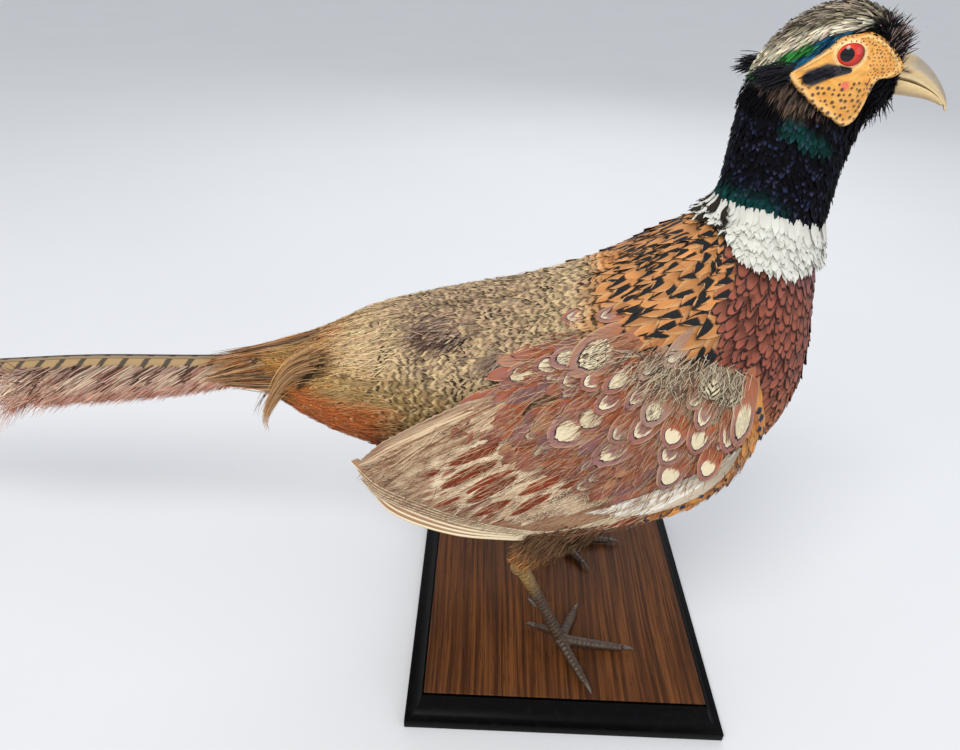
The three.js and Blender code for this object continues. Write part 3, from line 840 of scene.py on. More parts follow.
def board():
    """The plinth with a flat foot, a hollow moulding and a lip, mitred at its corners, round a wooden panel."""
    low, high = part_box("base_board")
    panel_low, panel_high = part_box("base_panel")
    side = high.x - low.x
    foot, lip, seam, steps = 0.006, 0.001, 0.0006, 12
    run, rise = (side - (panel_high.x - panel_low.x)) / 2, high.z - foot
    plinth = box_piece("board_moulding", (0, 0, foot / 2), (side, side, foot))
    bpy.ops.object.mode_set(mode="EDIT")
    select_top(plinth)
    bpy.ops.mesh.inset(thickness=lip)
    for i in range(1, steps + 1):
        turn, before = i / steps * math.pi / 2, (i - 1) / steps * math.pi / 2
        bpy.ops.mesh.inset(thickness=(run - 2 * lip - seam) * (math.sin(turn) - math.sin(before)))
        bpy.ops.transform.translate(value=(0, 0, rise * (math.cos(before) - math.cos(turn))))
    bpy.ops.mesh.inset(thickness=lip)
    bpy.ops.mesh.inset(thickness=0.0004)
    bpy.ops.transform.translate(value=(0, 0, -0.003))
    bpy.ops.object.mode_set(mode="OBJECT")
    soften_edges(plinth, 0.0004, 2, 40)
    plinth.data.materials.append(lacquer_finish())
    keep(plinth, "plinth_lacquer", "base_board")

    panel = box_piece("board_panel", (panel_low + panel_high) / 2, panel_high - panel_low)
    soften_edges(panel, 0.0005, 3, 30)
    panel.data.materials.append(walnut_finish())
    keep(panel, "walnut_panel", "base_panel")


# ---- Skin ----

def merged_copy(name, nodes):
    """One mesh of merged copies of CAD nodes."""
    shape = bmesh.new()
    for node in nodes:
        shape.from_mesh(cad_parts[node].data)
    bmesh.ops.remove_doubles(shape, verts=shape.verts, dist=1e-5)
    mesh = bpy.data.meshes.new(name)
    shape.to_mesh(mesh)
    shape.free()
    piece = bpy.data.objects.new(name, mesh)
    bpy.context.scene.collection.objects.link(piece)
    return piece


def rounded(piece, voxel, passes):
    """Remeshes and smooths a piece."""
    remesh = piece.modifiers.new("one_surface", "REMESH")
    remesh.mode, remesh.voxel_size = "VOXEL", voxel
    smooth = piece.modifiers.new("soft_form", "SMOOTH")
    smooth.factor, smooth.iterations = 0.5, passes
    apply_modifiers(piece)
    return piece


def vertex_arrays(piece):
    mesh = piece.data
    points, normals = np.zeros(3 * len(mesh.vertices)), np.zeros(3 * len(mesh.vertices))
    mesh.vertices.foreach_get("co", points)
    mesh.vertices.foreach_get("normal", normals)
    return points.reshape(-1, 3), normals.reshape(-1, 3)


def tree_of(piece):
    """A search tree of a piece in the bird's own frame, in mm."""
    points, _ = vertex_arrays(piece)
    faces = [tuple(face.vertices) for face in piece.data.polygons]
    return BVHTree.FromPolygons([tuple(p) for p in to_bird(points)], faces)


def reach(tree, start, direction):
    """How far a ray goes to its first hit, or NaN."""
    _, _, _, distance = tree.ray_cast(Vector(start), Vector(direction))
    return math.nan if distance is None else distance


def softened(table, passes, closed=False):
    """A grid's values averaged with their neighbours."""
    for _ in range(passes):
        padded = np.concatenate([table[:1], table, table[-1:]], 0)
        table = (padded[:-2] + 2 * padded[1:-1] + padded[2:]) / 4
        if closed:
            table = (np.roll(table, 1, 1) + 2 * table + np.roll(table, -1, 1)) / 4
        else:
            padded = np.concatenate([table[:, :1], table, table[:, -1:]], 1)
            table = (padded[:, :-2] + 2 * padded[:, 1:-1] + padded[:, 2:]) / 4
    return table


def body_sheet(tree):
    """The body's surface, from behind the tail root (row 0) up to the forehead. Column 0 is the back line,
    and the columns go round by the right side."""
    columns, spacing = 144, 2.2
    lines = SECTION_LINES
    middle = (lines[:, :2] + lines[:, 2:]) / 2
    run = np.concatenate([[0], np.cumsum(np.linalg.norm(np.diff(middle, axis=0), axis=1))])
    rows = int(run[-1] / spacing)
    even = np.linspace(0, run[-1], rows)
    lines = np.stack([np.interp(even, run, lines[:, k]) for k in range(4)], -1)
    angle = np.arange(columns) / columns * 2 * math.pi
    points = np.zeros((rows, columns, 3))
    half_width = 30.0
    for i, (back_x, back_z, belly_x, belly_z) in enumerate(lines):
        centre = np.array([(back_x + belly_x) / 2, 0, (back_z + belly_z) / 2])
        up = np.array([back_x, 0, back_z]) - centre
        side = reach(tree, centre, (0, -1, 0))
        half_width = half_width if math.isnan(side) else side
        for j, turn in enumerate(angle):
            way = up * math.cos(turn) + np.array([0, -half_width, 0]) * math.sin(turn)
            length = np.linalg.norm(way)
            far = reach(tree, centre, way / length)
            far = length if math.isnan(far) or far > 1.6 * length else far
            points[i, j] = centre + way / length * far
    wide = np.interp(np.linspace(0, 2, 60), [0, 1, 2], BEHIND_HALF_WIDTHS)
    behind = np.stack([np.interp(np.linspace(0, 2, 60), [0, 1, 2], BEHIND_LINES[:, k]) for k in range(4)], -1)
    extra = np.zeros((60, columns, 3))
    for i, (back_x, back_z, belly_x, belly_z) in enumerate(behind):
        extra[i, :, 0] = (back_x + belly_x) / 2
        extra[i, :, 1] = -wide[i] * np.sin(angle)
        extra[i, :, 2] = (back_z + belly_z) / 2 + (back_z - belly_z) / 2 * np.cos(angle)
    gap = 14
    bridge = np.stack([extra[-1] * (1 - t) + points[0] * t for t in np.linspace(0, 1, gap + 2)[1:-1]])
    points = softened(np.concatenate([extra, bridge, points]), 2, closed=True)
    outward = points - points.mean(1, keepdims=True)
    return Sheet(points, outward, closed=True)


def wing_sheet(tree, side):
    """The folded wing as seen from its side: rows go forward along x and columns up along z."""
    xs, zs = np.arange(-160, 108, 2.5), np.arange(78, 268, 2.5)
    x, z = np.meshgrid(xs, zs, indexing="ij")
    far = 160.0
    out = np.array([[far - reach(tree, (at_x, -far, at_z), (0, 1, 0)) for at_z in zs] for at_x in xs])
    shell = shell_height(x, z)
    out = np.where(inside_outline(WING_OUTLINE, x, z, 8), np.fmax(out, shell), out)
    out = np.where(np.isnan(out), shell - 12, out)
    height = softened(out[..., None], 10)[..., 0]
    return Sheet(np.stack([x, -side * height, z], -1), np.array([0, -side, 0.0]))


def shell_height(x, z):
    """How far the folded wing's bowed surface stands out at a place of the side view."""
    share = 1 - ((x - WING_CENTRE[0]) / WING_BOW[0]) ** 2 - ((z - WING_CENTRE[1]) / WING_BOW[2]) ** 2
    return WING_BOW[1] * np.sqrt(np.clip(share, 0.04, 1))


# ---- Markings, the same for skin and coat ----

COLLAR_TOP = [(46, 291), (52, 293), (61, 293), (72, 293), (81, 290), (92, 287), (99, 284), (118, 282)]
COLLAR_FOOT = [(46, 287), (53, 286), (60, 281), (68, 274), (77, 272), (91, 268), (104, 270), (118, 271)]


def collar_levels(x):
    """The heights of the collar's lower and upper edge."""
    return np.interp(x, *zip(*COLLAR_FOOT)), np.interp(x, *zip(*COLLAR_TOP))


def near_line(x, z, line, width):
    """1 on a polyline of the side view, falling to 0 at width mm from it."""
    best = np.full(np.shape(x), 1e9)
    for (x1, z1), (x2, z2) in zip(line[:-1], line[1:]):
        t = np.clip(((x - x1) * (x2 - x1) + (z - z1) * (z2 - z1)) / ((x2 - x1) ** 2 + (z2 - z1) ** 2), 0, 1)
        best = np.minimum(best, np.hypot(x - x1 - t * (x2 - x1), z - z1 - t * (z2 - z1)))
    return 1 - ease(best, 0.6 * width, width)


def head_tint(x, z):
    """Crown, brow streak, green stripe, cheeks and throat."""
    crown_edge = np.interp(x, [50, 58, 66, 78, 90, 104, 116], [350, 357, 364, 373, 379, 380, 376])
    brow = [(58, 357), (68, 366.4), (80, 373.4), (90, 377), (98, 378.6)]
    return layered(
        np.zeros(np.shape(x) + (3,)) + rgb(15, 14, 17),
        ((138, 127, 108), ease(z, crown_edge - 2, crown_edge + 1.5) * ease(x, 112, 104)),
        ((34, 84, 112), near_line(x, z, [(89, 372), (79, 367), (64, 353)], 3.4)),
        ((44, 112, 50), near_line(x, z, [(76.5, 367.6), (70, 363), (60, 354)], 2.6)),
        ((206, 196, 172), near_line(x, z, brow, 2.4)),
        ((92, 76, 64), near_line(x, z, [(64, 352), (70, 347), (80, 340), (90, 335)], 5.0) * 0.85))


def neck_tint(x, z):
    """Violet black, with teal at the foot of the nape and under the cheek."""
    _, top = collar_levels(x)
    return layered(
        np.zeros(np.shape(x) + (3,)) + rgb(7, 6, 11),
        ((10, 66, 62), ease(z, top + 17, top + 2) * ease(x, 92, 66) * 0.8),
        ((14, 70, 62), near_line(x, z, [(76, 335), (84, 330), (93, 327)], 5.5) * 0.45),
        ((10, 10, 14), ease(x, 86, 104) * 0.7))


def body_tint(points):
    """The ground colour of the whole plumage at points of the bird's own frame."""
    x, z = side_view(points)
    foot, top = collar_levels(x)
    tint = layered(
        np.zeros(np.shape(x) + (3,)) + rgb(176, 150, 114),
        ((134, 108, 88), ease(z, 214, 226) * ease(x, -20, -50) * 0.6),
        ((156, 116, 72), ease(x, -118, -150) * ease(z, 180, 192)),
        ((130, 102, 56), ease(z, 206, 190) * ease(x, -50, -84) * 0.8),
        ((150, 106, 44), ease(z, 192, 182) * ease(x, -130, -150) * 0.8),
        ((146, 80, 38), ease(z, 185, 175) * ease(x, -92, -106)),
        ((96, 72, 34), ease(x, -150, -172) * ease(z, 186, 172)),
        ((60, 46, 36), ease(z, 128, 114) * ease(x, 60, 30)),
        ((184, 124, 72), ease(x, -12, 4) * ease(z, 200, 226)))
    copper = layered(
        rgb(142, 76, 58) + 0 * tint,
        ((172, 94, 44), ease(z, 216, 176)),
        ((146, 98, 108), ease(z, 252, 270) * ease(x, 84, 106) * 0.8))
    tint = blend(tint, copper, ease(x, 56, 62) * ease(z, foot + 2, foot - 2) * ease(z, 118, 132))
    tint = layered(
        tint,
        ((40, 30, 26), ease(z, 134, 116) * ease(x, 40, 60)),
        ((226, 224, 212), ease(z, foot - 1, foot + 1) * ease(x, 40, 48)))
    tint = blend(tint, neck_tint(x, z), ease(z, top - 1, top + 1) * ease(x, 38, 48))
    return blend(tint, head_tint(x, z), ease(z, 336, 344) * ease(x, 40, 48))


def coat_depth(points):
    """How deep the feathers stand over the skin, in mm."""
    x, z = side_view(points)
    return 4.0 - 2.0 * ease(z, 262, 300) * ease(x, 20, 45) - 0.6 * ease(z, 335, 345)


def skin():
    """One skin for all nodes of flesh, inside them by the coat's depth."""
    paired = ("thigh", "wing_coverts")
    nodes = ["head", "neck", "trunk", "rump"] + [f"{part}_{side}" for part in paired for side in SIDES]
    piece = rounded(merged_copy("skin", nodes), 0.0024, 6)
    points, normals = vertex_arrays(piece)
    inside = points - normals * (coat_depth(to_bird(points)) / 1000)[:, None]
    place_points(piece.data, inside)
    colour_points(piece.data, "Tint", body_tint(to_bird(points)))
    shade_smooth(piece.data)
    piece.data.update()
    piece.data.materials.append(skin_finish())
    return keep(piece, "body_plumage", *nodes)


# ---- Body plumage ----

def jittered(tint, seed, spread=0.12):
    """Tints, each a little lighter or darker, warmer or cooler than asked."""
    random = chance(seed)
    shade = 1 + spread * bell(random, len(tint), 1)
    warm = 1 + 0.14 * spread * bell(random, len(tint), 3)
    return np.clip(tint * shade * warm, 0.002, 1)


def regions(points):
    """Masks of the body's regions at points of the bird's own frame."""
    x, y, z = np.moveaxis(points, -1, 0)
    foot, top = collar_levels(x)
    upper = (x > 40) & (z > foot)
    edge = np.interp(z, [170, 225, 250, 262, 270, 283], [92, 63, 57, 61, 64, 56])
    back_edge = np.interp(z, [228, 235, 241, 250, 257, 263], [30, 20, 2, -4, 1, 9])
    under_wing = inside_outline(WING_OUTLINE, x, z, -16) & (np.abs(y) > 20)
    masks = {"head": upper & (z > 338), "neck": upper & (z > top) & (z <= 338), "collar": upper & (z <= top)}
    masks["breast"] = ~upper & (x > edge) & (z > 122)
    masks["mantle"] = ~upper & (x <= edge) & (x > back_edge) & (z > 205)
    masks["back"] = ~upper & (x <= back_edge) & (x > -206) & (z > 150)
    masks["belly"] = ~upper & ~masks["breast"] & ~masks["mantle"] & ~masks["back"]
    for name in ("mantle", "back", "belly"):
        masks[name] &= ~under_wing
    masks["head"] &= ~inside_outline(FACE_EDGE, x, z, -2.0)
    masks["back"] &= (x > -165)
    masks["belly"] &= (x > -196)
    return masks


def seen_at(sheet, row, col, length):
    """Where the visible part of a feather is: part of its length down the lie."""
    along = sheet.read(sheet.along, row, col)
    step = 0.7 * length / np.maximum(np.linalg.norm(along, axis=-1), 1e-6)
    return sheet.at(row - step, col)


def shed(sheet, name, length):
    """A test for scatter: whether a root's feather shows in a region."""
    def wanted(points):
        rows, cols = sheet.shape
        row, col = np.meshgrid(np.arange(rows, dtype=float), np.arange(cols, dtype=float), indexing="ij")
        return regions(seen_at(sheet, row, col, length))[name]
    return wanted


def cover(sheet, name, coat, spacing, length, width, lift, seed, spread=0.12, mark=None, tint=None, **shape):
    """Covers a region of the body with feathers in the region's own tints."""
    gap = spacing if callable(spacing) else (lambda points: spacing)
    row, col = scatter(sheet, gap, shed(sheet, name, length), seed)
    random = chance(seed + 1)
    scale = 1 + 0.08 * bell(random, len(row))
    grow = gap(sheet.at(row, col)) / gap(sheet.points).mean() if callable(spacing) else 1
    vanes = lay(sheet, row, col, length * scale * grow, width * scale * grow, lift, seed + 2,
                turn=0.07 * bell(random, len(row)), **shape)
    ground = body_tint(seen_at(sheet, row, col, length))
    tint = jittered(ground if tint is None else ground * 0 + tint, seed + 3, spread)
    marks = mark(sheet.at(row, col), random) if mark else None
    coat.add(vanes, tint, roots_on(sheet, row, col), seed + 4, marks)


def alone(amount):
    """Marks with an amount and nothing else."""
    return np.stack([amount, 0 * amount, 0 * amount], -1)


def leaf_marks(points, random):
    """Which mantle feathers carry a black wedge, and on which side of the tip."""
    amount = np.where(random.random(len(points)) < 0.84 + 0.12 * ease(points[:, 2], 262, 280), 1.0, 0.0)
    return np.stack([amount, random.integers(0, 2, len(points)) * 1.0, 0 * amount], -1)


def squiggle_marks(points, random):
    """How strongly the back's feathers are marked, in patches."""
    x, z = points[:, 0], points[:, 2]
    patches = np.sin(x * 0.16 + z * 0.21) * np.sin(x * 0.09 - z * 0.13 + 1)
    amount = random.uniform(0.7, 1.0, len(points)) * ease(x, -146, -106)
    return alone(amount * (0.65 + 0.35 * ease(patches, -0.3, 0.25)))


def mottled(coat, share):
    """Darkens some feathers of the last batch of a coat, at the nape."""
    points, _, tint, *_ = coat.batches[-1]
    dark = (tint[:, 3] < share) & (points[:, 0] < 58)
    tint[dark, :3] = rgb(40, 34, 26)


def body_plumage(sheet):
    breast = Coat("breast_scales", breast_finish(), "body_plumage")
    cover(sheet, "breast", breast, 4.5, 13, 5.6, 1.0, 11, rows=8, cols=6, base=-1.8, rag=0.02, camber=0.05,
          outline=lozenge)
    breast.made()
    mantle = Coat("mantle_scales", mantle_finish(), "body_plumage")
    cover(sheet, "mantle", mantle, lambda p: 6.6 - 2.2 * ease(p[..., 2], 258, 280), 20, 10.5, 1.6, 21,
          rows=9, cols=8, base=-2.2, rag=0.02, outline=pointed_tip, mark=leaf_marks, camber=0.04)
    mantle.made()
    back = Coat("back_plumage", back_finish(), "rump_plumage")
    cover(sheet, "back", back, 4.7, 14, 7.2, 1.8, 31, rows=7, cols=5, base=-2.0, rag=0.05, mark=squiggle_marks)
    back.made()
    belly = Coat("belly_plumage", plain_plume_finish("belly_plumage"), "body_plumage")
    cover(sheet, "belly", belly, 6.0, 20, 7.0, 2.4, 41, base=-2.4, rag=0.12, outline=pointed_tip)
    belly.made()
    collar = Coat("collar_plumage", plain_plume_finish("white_collar", 0.8, 0.1, 0.2, 0.35), "neck_plumage")
    for lift, seed in ((1.6, 51), (2.6, 55)):
        cover(sheet, "collar", collar, 2.2, 9, 3.4, lift, seed, 0.03, cols=2, base=0.2, rag=0.1, tint=WHITE)
        mottled(collar, 0.5)
    collar.made()
    neck = Coat("neck_plumage", neck_finish(), "neck_plumage")
    cover(sheet, "neck", neck, 2.15, 7, 2.9, 1.3, 61, 0.3, rows=5, cols=2, base=-1.0, rag=0.06,
          mark=gloss_marks)
    neck.made()
    head = Coat("head_plumage", plain_plume_finish("head_plumage", 0.75, 0.05, 0.5, 1.0), "head_plumage")
    cover(sheet, "head", head, 1.5, 7.0, 1.1, 1.9, 71, 0.38, rows=5, cols=1, base=-0.8, rag=0.12,
          outline=pointed_tip)
    head.made()


def gloss_marks(points, random):
    """Which neck feathers carry a painted glint of lilac, blue or teal at their tips."""
    painted_glint = random.random(len(points)) ** 3 * ease(points[:, 0], 112, 88)
    return np.stack([painted_glint, random.random(len(points)), 0 * painted_glint], -1)


def neck_finish():
    """Dark feathers, with painted shade towards each root and painted glints of lilac to blue on some tips."""
    paint = VaneFinish("neck_gloss", 0.55, 0.04, 12.0)
    painted_glint, hue, _ = paint.marks()
    tip = paint.mix(hue, rgb(92, 86, 128), rgb(50, 74, 112))
    # painted shade: each feather is darkest at its root and lighter than its tint at the tip
    paint.darken(paint.along * 1.0 + 0.3)
    # painted glint: a lilac to blue tint laid over the tips of some feathers
    paint.over(paint.along.step(0.7, 0.98) * painted_glint * 0.5, tip)
    return paint.streaked()


# ---- Wings ----

# Cream drops of the coverts and scapulars on the side view: x, z, length, width, whole (1) or crescent (0.5),
# how scribbled, how grey.
COVERT_DROPS = np.array([
    (-31.7, 210.4, 13.5, 9.5, 1, 0.1, 0), (-21, 217.7, 9, 7.5, 1, 0.1, 0), (-11.2, 221.5, 12, 7, 1, 0.9, 0),
    (2.4, 226, 19, 11, 1, 1, 0.2), (-9.7, 215.5, 8, 7.5, 0.5, 0.2, 0), (0.2, 216.5, 8, 7, 0.5, 0, 0),
    (13.9, 217.5, 13, 7, 1, 0.5, 0), (9.5, 207.1, 12, 7, 0.5, 0, 0), (23.4, 210.5, 12, 6.5, 0.5, 0.3, 0),
    (1.6, 197.9, 13, 11, 1, 0, 0), (-9.2, 190, 14, 12, 1, 0, 0), (17.4, 191.9, 9, 8, 0.5, 0.7, 0.1),
    (28.2, 194.5, 13, 8.5, 0.5, 0, 0), (31.9, 203.6, 10.5, 8.5, 1, 0.9, 0.2),
    (14.9, 180.5, 16, 10, 0.5, 0, 0), (43.2, 192, 8, 8.5, 1, 0, 0), (44, 181, 9, 8.5, 0.5, 0, 0),
    (46.3, 167.5, 10.5, 9.5, 1, 0, 0), (56.4, 189.3, 11.5, 9, 1, 0.1, 0), (51, 210.5, 8, 7, 0.5, 0.3, 0.3),
    (55.4, 201.7, 12, 7, 0.5, 0, 0.1), (59, 216.5, 11, 9, 1, 0.3, 0.9), (68.5, 212.6, 12, 10, 1, 0.3, 0.9),
    (76.2, 198.8, 17, 8.5, 1, 0.4, 0.1), (67.3, 190, 14.5, 7.5, 0.5, 0, 0), (64.6, 173.4, 9, 7.5, 1, 0, 0),
    (28.5, 225, 11, 5, 0.5, 0.6, 0.5), (39, 231, 10, 5, 0.5, 0.4, 0.4), (-9, 237, 9, 6, 0.5, 0.5, 0),
    (7, 242, 8, 5, 0.5, 0.5, 0.1)])
COVERT_FOOT = np.array([(-62, 196), (-20, 176), (10, 164), (40, 150), (62, 152), (90, 170)], float)
LOOSE_FIELD = [(4, 228), (22, 233), (50, 233), (79, 221), (72, 208), (50, 212), (34, 210), (16, 221)]
SCAPULAR_FIELD = [(-50, 204), (-24, 230), (4, 238), (30, 236), (50, 230), (60, 212), (0, 200)]
FRONT_EDGE = [(83, 199), (85, 188), (82.5, 178), (77, 166), (69, 154), (57, 143.5), (43, 133), (28, 124),
              (10, 115.5)]
SECONDARY_TIPS = [(-125.5, 140), (-114, 127), (-100, 119.5), (-86, 116), (-64, 112), (-38, 109), (-5, 110),
                  (18, 116), (40, 127)]
PRIMARY_EDGE = [(40, 128), (-4, 101), (-50, 91), (-77, 88.7), (-105, 90.8), (-119, 97.6), (-125, 113)]
PRIMARY_TOP = [(46, 148), (-5, 112), (-38, 106.5), (-63, 108.5), (-89, 114.5), (-115, 121.5), (-130, 138)]
HANG = 100.0  # below this height the long feathers hang straight down


def wing_fall(x, z):
    """How steeply the wing's feathers point down, as an angle below the way back (radians)."""
    return np.radians(38 + 40 * ease(x, -10, 80) - 8 * ease(z, 205, 235) * ease(x, 60, 20))


def wing_turn(sheet, row, col, side):
    """The turn that lays feathers along the wing's fall."""
    here = sheet.at(row, col)
    return side * wing_fall(here[:, 0], here[:, 2])


def coverts(sheet, side):
    """Plain mauve and chestnut feathers all over the upper wing, then those that carry the cream drops."""
    name = SIDE_NAMES[side]
    coat = Coat(f"covert_plumage_{name}", COVERT_FINISH, "wing_plumage")

    def field(points):
        x, z = side_view(points)
        on_wing = inside_outline(WING_OUTLINE, x, z, 2) & (z > np.interp(x, *COVERT_FOOT.T))
        return on_wing | inside_outline(SCAPULAR_FIELD, x, z)

    seed = 200 + side
    random = chance(seed)
    row, col = scatter(sheet, lambda points: 5.6 + 2.4 * ease(points[..., 0], 60, 20), field, seed)
    here = sheet.at(row, col)
    small = ease(here[:, 0], 30, 66)
    turn = wing_turn(sheet, row, col, side) + 0.12 * bell(random, len(row))
    vanes = lay(sheet, row, col, 24 - 9 * small, 9.5 - 3 * small, 1.2, seed, rows=8, cols=6, turn=turn,
                base=-1.8, rag=0.04, camber=0.03)
    mixed = random.random((len(row), 1))
    tint = jittered(picked(mixed, (0.55, 0.8), (156, 88, 58), (136, 98, 96), (182, 132, 90)), seed)
    grey = small * ease(here[:, 2], 196, 208) * random.uniform(0.6, 1, len(row))
    scapular = ease(here[:, 2], 216, 228) * ease(here[:, 0], 8, 20)
    grey = np.maximum(grey, scapular * random.uniform(0.5, 1, len(row)))
    drop = np.where(random.random(len(row)) < 0.12 + 0.3 * small, 0.5, 0.0)
    marks = np.stack([drop, 0.3 + 0.7 * grey, grey], -1)
    coat.add(vanes, tint, roots_on(sheet, row, col), seed, marks, side < 0)

    x, z, long, wide, whole, scribble, grey = COVERT_DROPS.T
    fall = wing_fall(x, z) + 0.05 * bell(random, len(x))
    length, width = np.where(grey > 0.75, 1.7, 2.5) * long, 1.75 * wide
    row, col = grid_place(sheet, x + 0.7 * length * np.cos(fall), z + 0.7 * length * np.sin(fall))
    lift = 2.4 + 0.02 * (x + 40)
    vanes = lay(sheet, row, col, length, width, lift, seed + 5, rows=20, cols=12, turn=side * fall, base=-1.6,
                rag=0.02, camber=0.02, roll=0.04)
    tint = picked(random.random((len(x), 1)), [0.6], (154, 92, 66), (150, 108, 96))
    tint = jittered(tint, seed + 6, 0.08)
    marks = np.stack([whole, scribble, grey], -1)
    coat.add(vanes, tint, roots_on(sheet, row, col), seed + 7, marks, side < 0)
    coat.made()

    barbs = Coat(f"wing_barbs_{name}", HAIR_FINISH, "wing_plumage")

    def whole_wing(points):
        return field(points) | inside_outline(WING_OUTLINE, points[..., 0], points[..., 2], -3)

    def loose(points):
        return inside_outline(LOOSE_FIELD, points[..., 0], points[..., 2]) * 1.0

    for part, gap, wild, width, lift in ((whole_wing, 2.4, 0.2, 0.34, 1.2), (loose, 1.7, 0.5, 0.42, 2.0)):
        row, col = scatter(sheet, lambda points: gap, part, seed + 20, rounds=1, trial=4)
        count = len(row)
        turn = wing_turn(sheet, row, col, side) + wild * bell(random, count)
        vanes = lay(sheet, row, col, random.uniform(5, 11, count), width, 0.6, seed + 21, rows=4, cols=1,
                    outline=strand, turn=turn, base=random.uniform(0.2, lift, count), camber=0, rag=0.02,
                    bend=0.1 * bell(random, count))
        pick = random.random((count, 1))
        if part is whole_wing:
            tint = picked(pick, (0.45, 0.75), (200, 170, 132), (112, 62, 42), (160, 98, 74))
        else:
            tint = picked(pick, (0.5, 0.82), (212, 196, 166), (138, 114, 92), (62, 50, 42))
        barbs.add(vanes, jittered(tint, seed + 22), roots_on(sheet, row, col), seed + 23, flip=side < 0)
    barbs.made()


def front_edge(sheet, side):
    """Long whitish feathers below the coverts, and golden ones with blue-black spots along the very edge."""
    name = SIDE_NAMES[side]
    seed = 260 + side
    random = chance(seed)
    coat = Coat(f"flank_plumage_{name}", FLANK_FINISH, "wing_plumage")
    edge = spline(FRONT_EDGE, 200)
    flow = unit(np.gradient(edge, axis=0))
    inward = np.stack([flow[:, 1], -flow[:, 0]], -1)

    count, steps = 9, 40
    for k in range(count):
        share = k / (count - 1)
        first = int(200 * (0.1 + 0.16 * share + random.uniform(0, 0.06)))
        last = int(200 * (0.72 + 0.26 * share))
        away = (5.0 + 10.0 * share) * (0.75 + 0.5 * np.linspace(0, 1, 200)[:, None])
        path = spline((edge + inward * away)[first:last:8], steps)
        widths = tapered(steps, 2.9, 0.3, 0.05, 0.6), tapered(steps, 3.6, 0.3, 0.05, 0.6)
        vane = long_vane(path, -1.3 + 0.16 * k, side, widths, 8, 0.1, seed + k, 0.03)
        tint = rgb(228, 222, 208) if k % 3 else rgb(206, 190, 166)
        coat.add_one(vane, jittered(tint[None], seed + k, 0.05), (0.1 + 0.8 * share, 0.5), seed + k, None, side)

    count = 150
    share = random.random(count) ** 1.1
    at = (share * 146).astype(int)
    off = random.uniform(-5.5, 3.6, count) * (1.15 - 0.55 * share)
    tip = edge[at] + inward[at] * off[:, None]
    fall = np.arctan2(-flow[at, 1], -flow[at, 0]) + 0.1 * bell(random, count)
    length = 15 * random.uniform(0.85, 1.15, count)
    row, col = grid_place(sheet, tip[:, 0] + length * np.cos(fall), tip[:, 1] + length * np.sin(fall))
    vanes = lay(sheet, row, col, length, 5.6, 1.8, seed + 20, rows=10, cols=6, turn=side * fall, base=-1.0,
                rag=0.03, camber=0.05)
    golden = picked(random.random((count, 1)), [0.7], (196, 132, 60), (168, 98, 46))
    spot = (random.random(count) < 0.4) & (off < 1.5)
    tint = jittered(golden, seed + 21)
    coat.add(vanes, tint, roots_on(sheet, row, col), seed + 22, alone(spot * 1.0), side < 0)
    coat.made()


def long_vane(path, depth, side, widths, cols, camber, seed, rag):
    """A long feather on the folded wing: its path on the side view, its widths to the lower and upper edge."""
    def height(x, z):
        return shell_height(x, np.maximum(z, HANG))

    x, z = path.T
    depth = depth + 0 * x
    points = np.stack([x, -side * (height(x, z) - depth), z], -1)
    slope_x = (height(x + 1, z) - height(x - 1, z)) / 2
    slope_z = (height(x, z + 1) - height(x, z - 1)) / 2
    normal = unit(np.stack([-slope_x, -side + 0 * x, -slope_z], -1))
    flow = unit(np.gradient(points, axis=0))
    up = np.cross(flow, normal) * side
    lower, upper = widths
    b = np.linspace(-1, 1, cols + 1)
    out = np.where(b < 0, -b * upper[:, None], -b * lower[:, None])
    random = chance(seed)
    out = out * (1 + rag * bell(random, *out.shape) * np.abs(b) ** 3)
    across_x = x[:, None] + up[:, None, 0] * out
    across_z = z[:, None] + up[:, None, 2] * out
    sink = depth[:, None] + 0.02 * np.abs(out) + camber * lower.max() * b ** 2
    return np.stack([across_x, -side * (height(across_x, across_z) - sink), across_z], -1)


def tapered(count, width, root=0.35, tip=0.06, shoulder=0.72):
    """Half widths along a long feather that narrows to a rounded tip."""
    a = np.linspace(0, 1, count)
    return width * (root + (1 - root) * ease(a, 0, 0.3)) * np.clip(1 - ease(a, shoulder, 1.06), tip, 1) ** 0.7


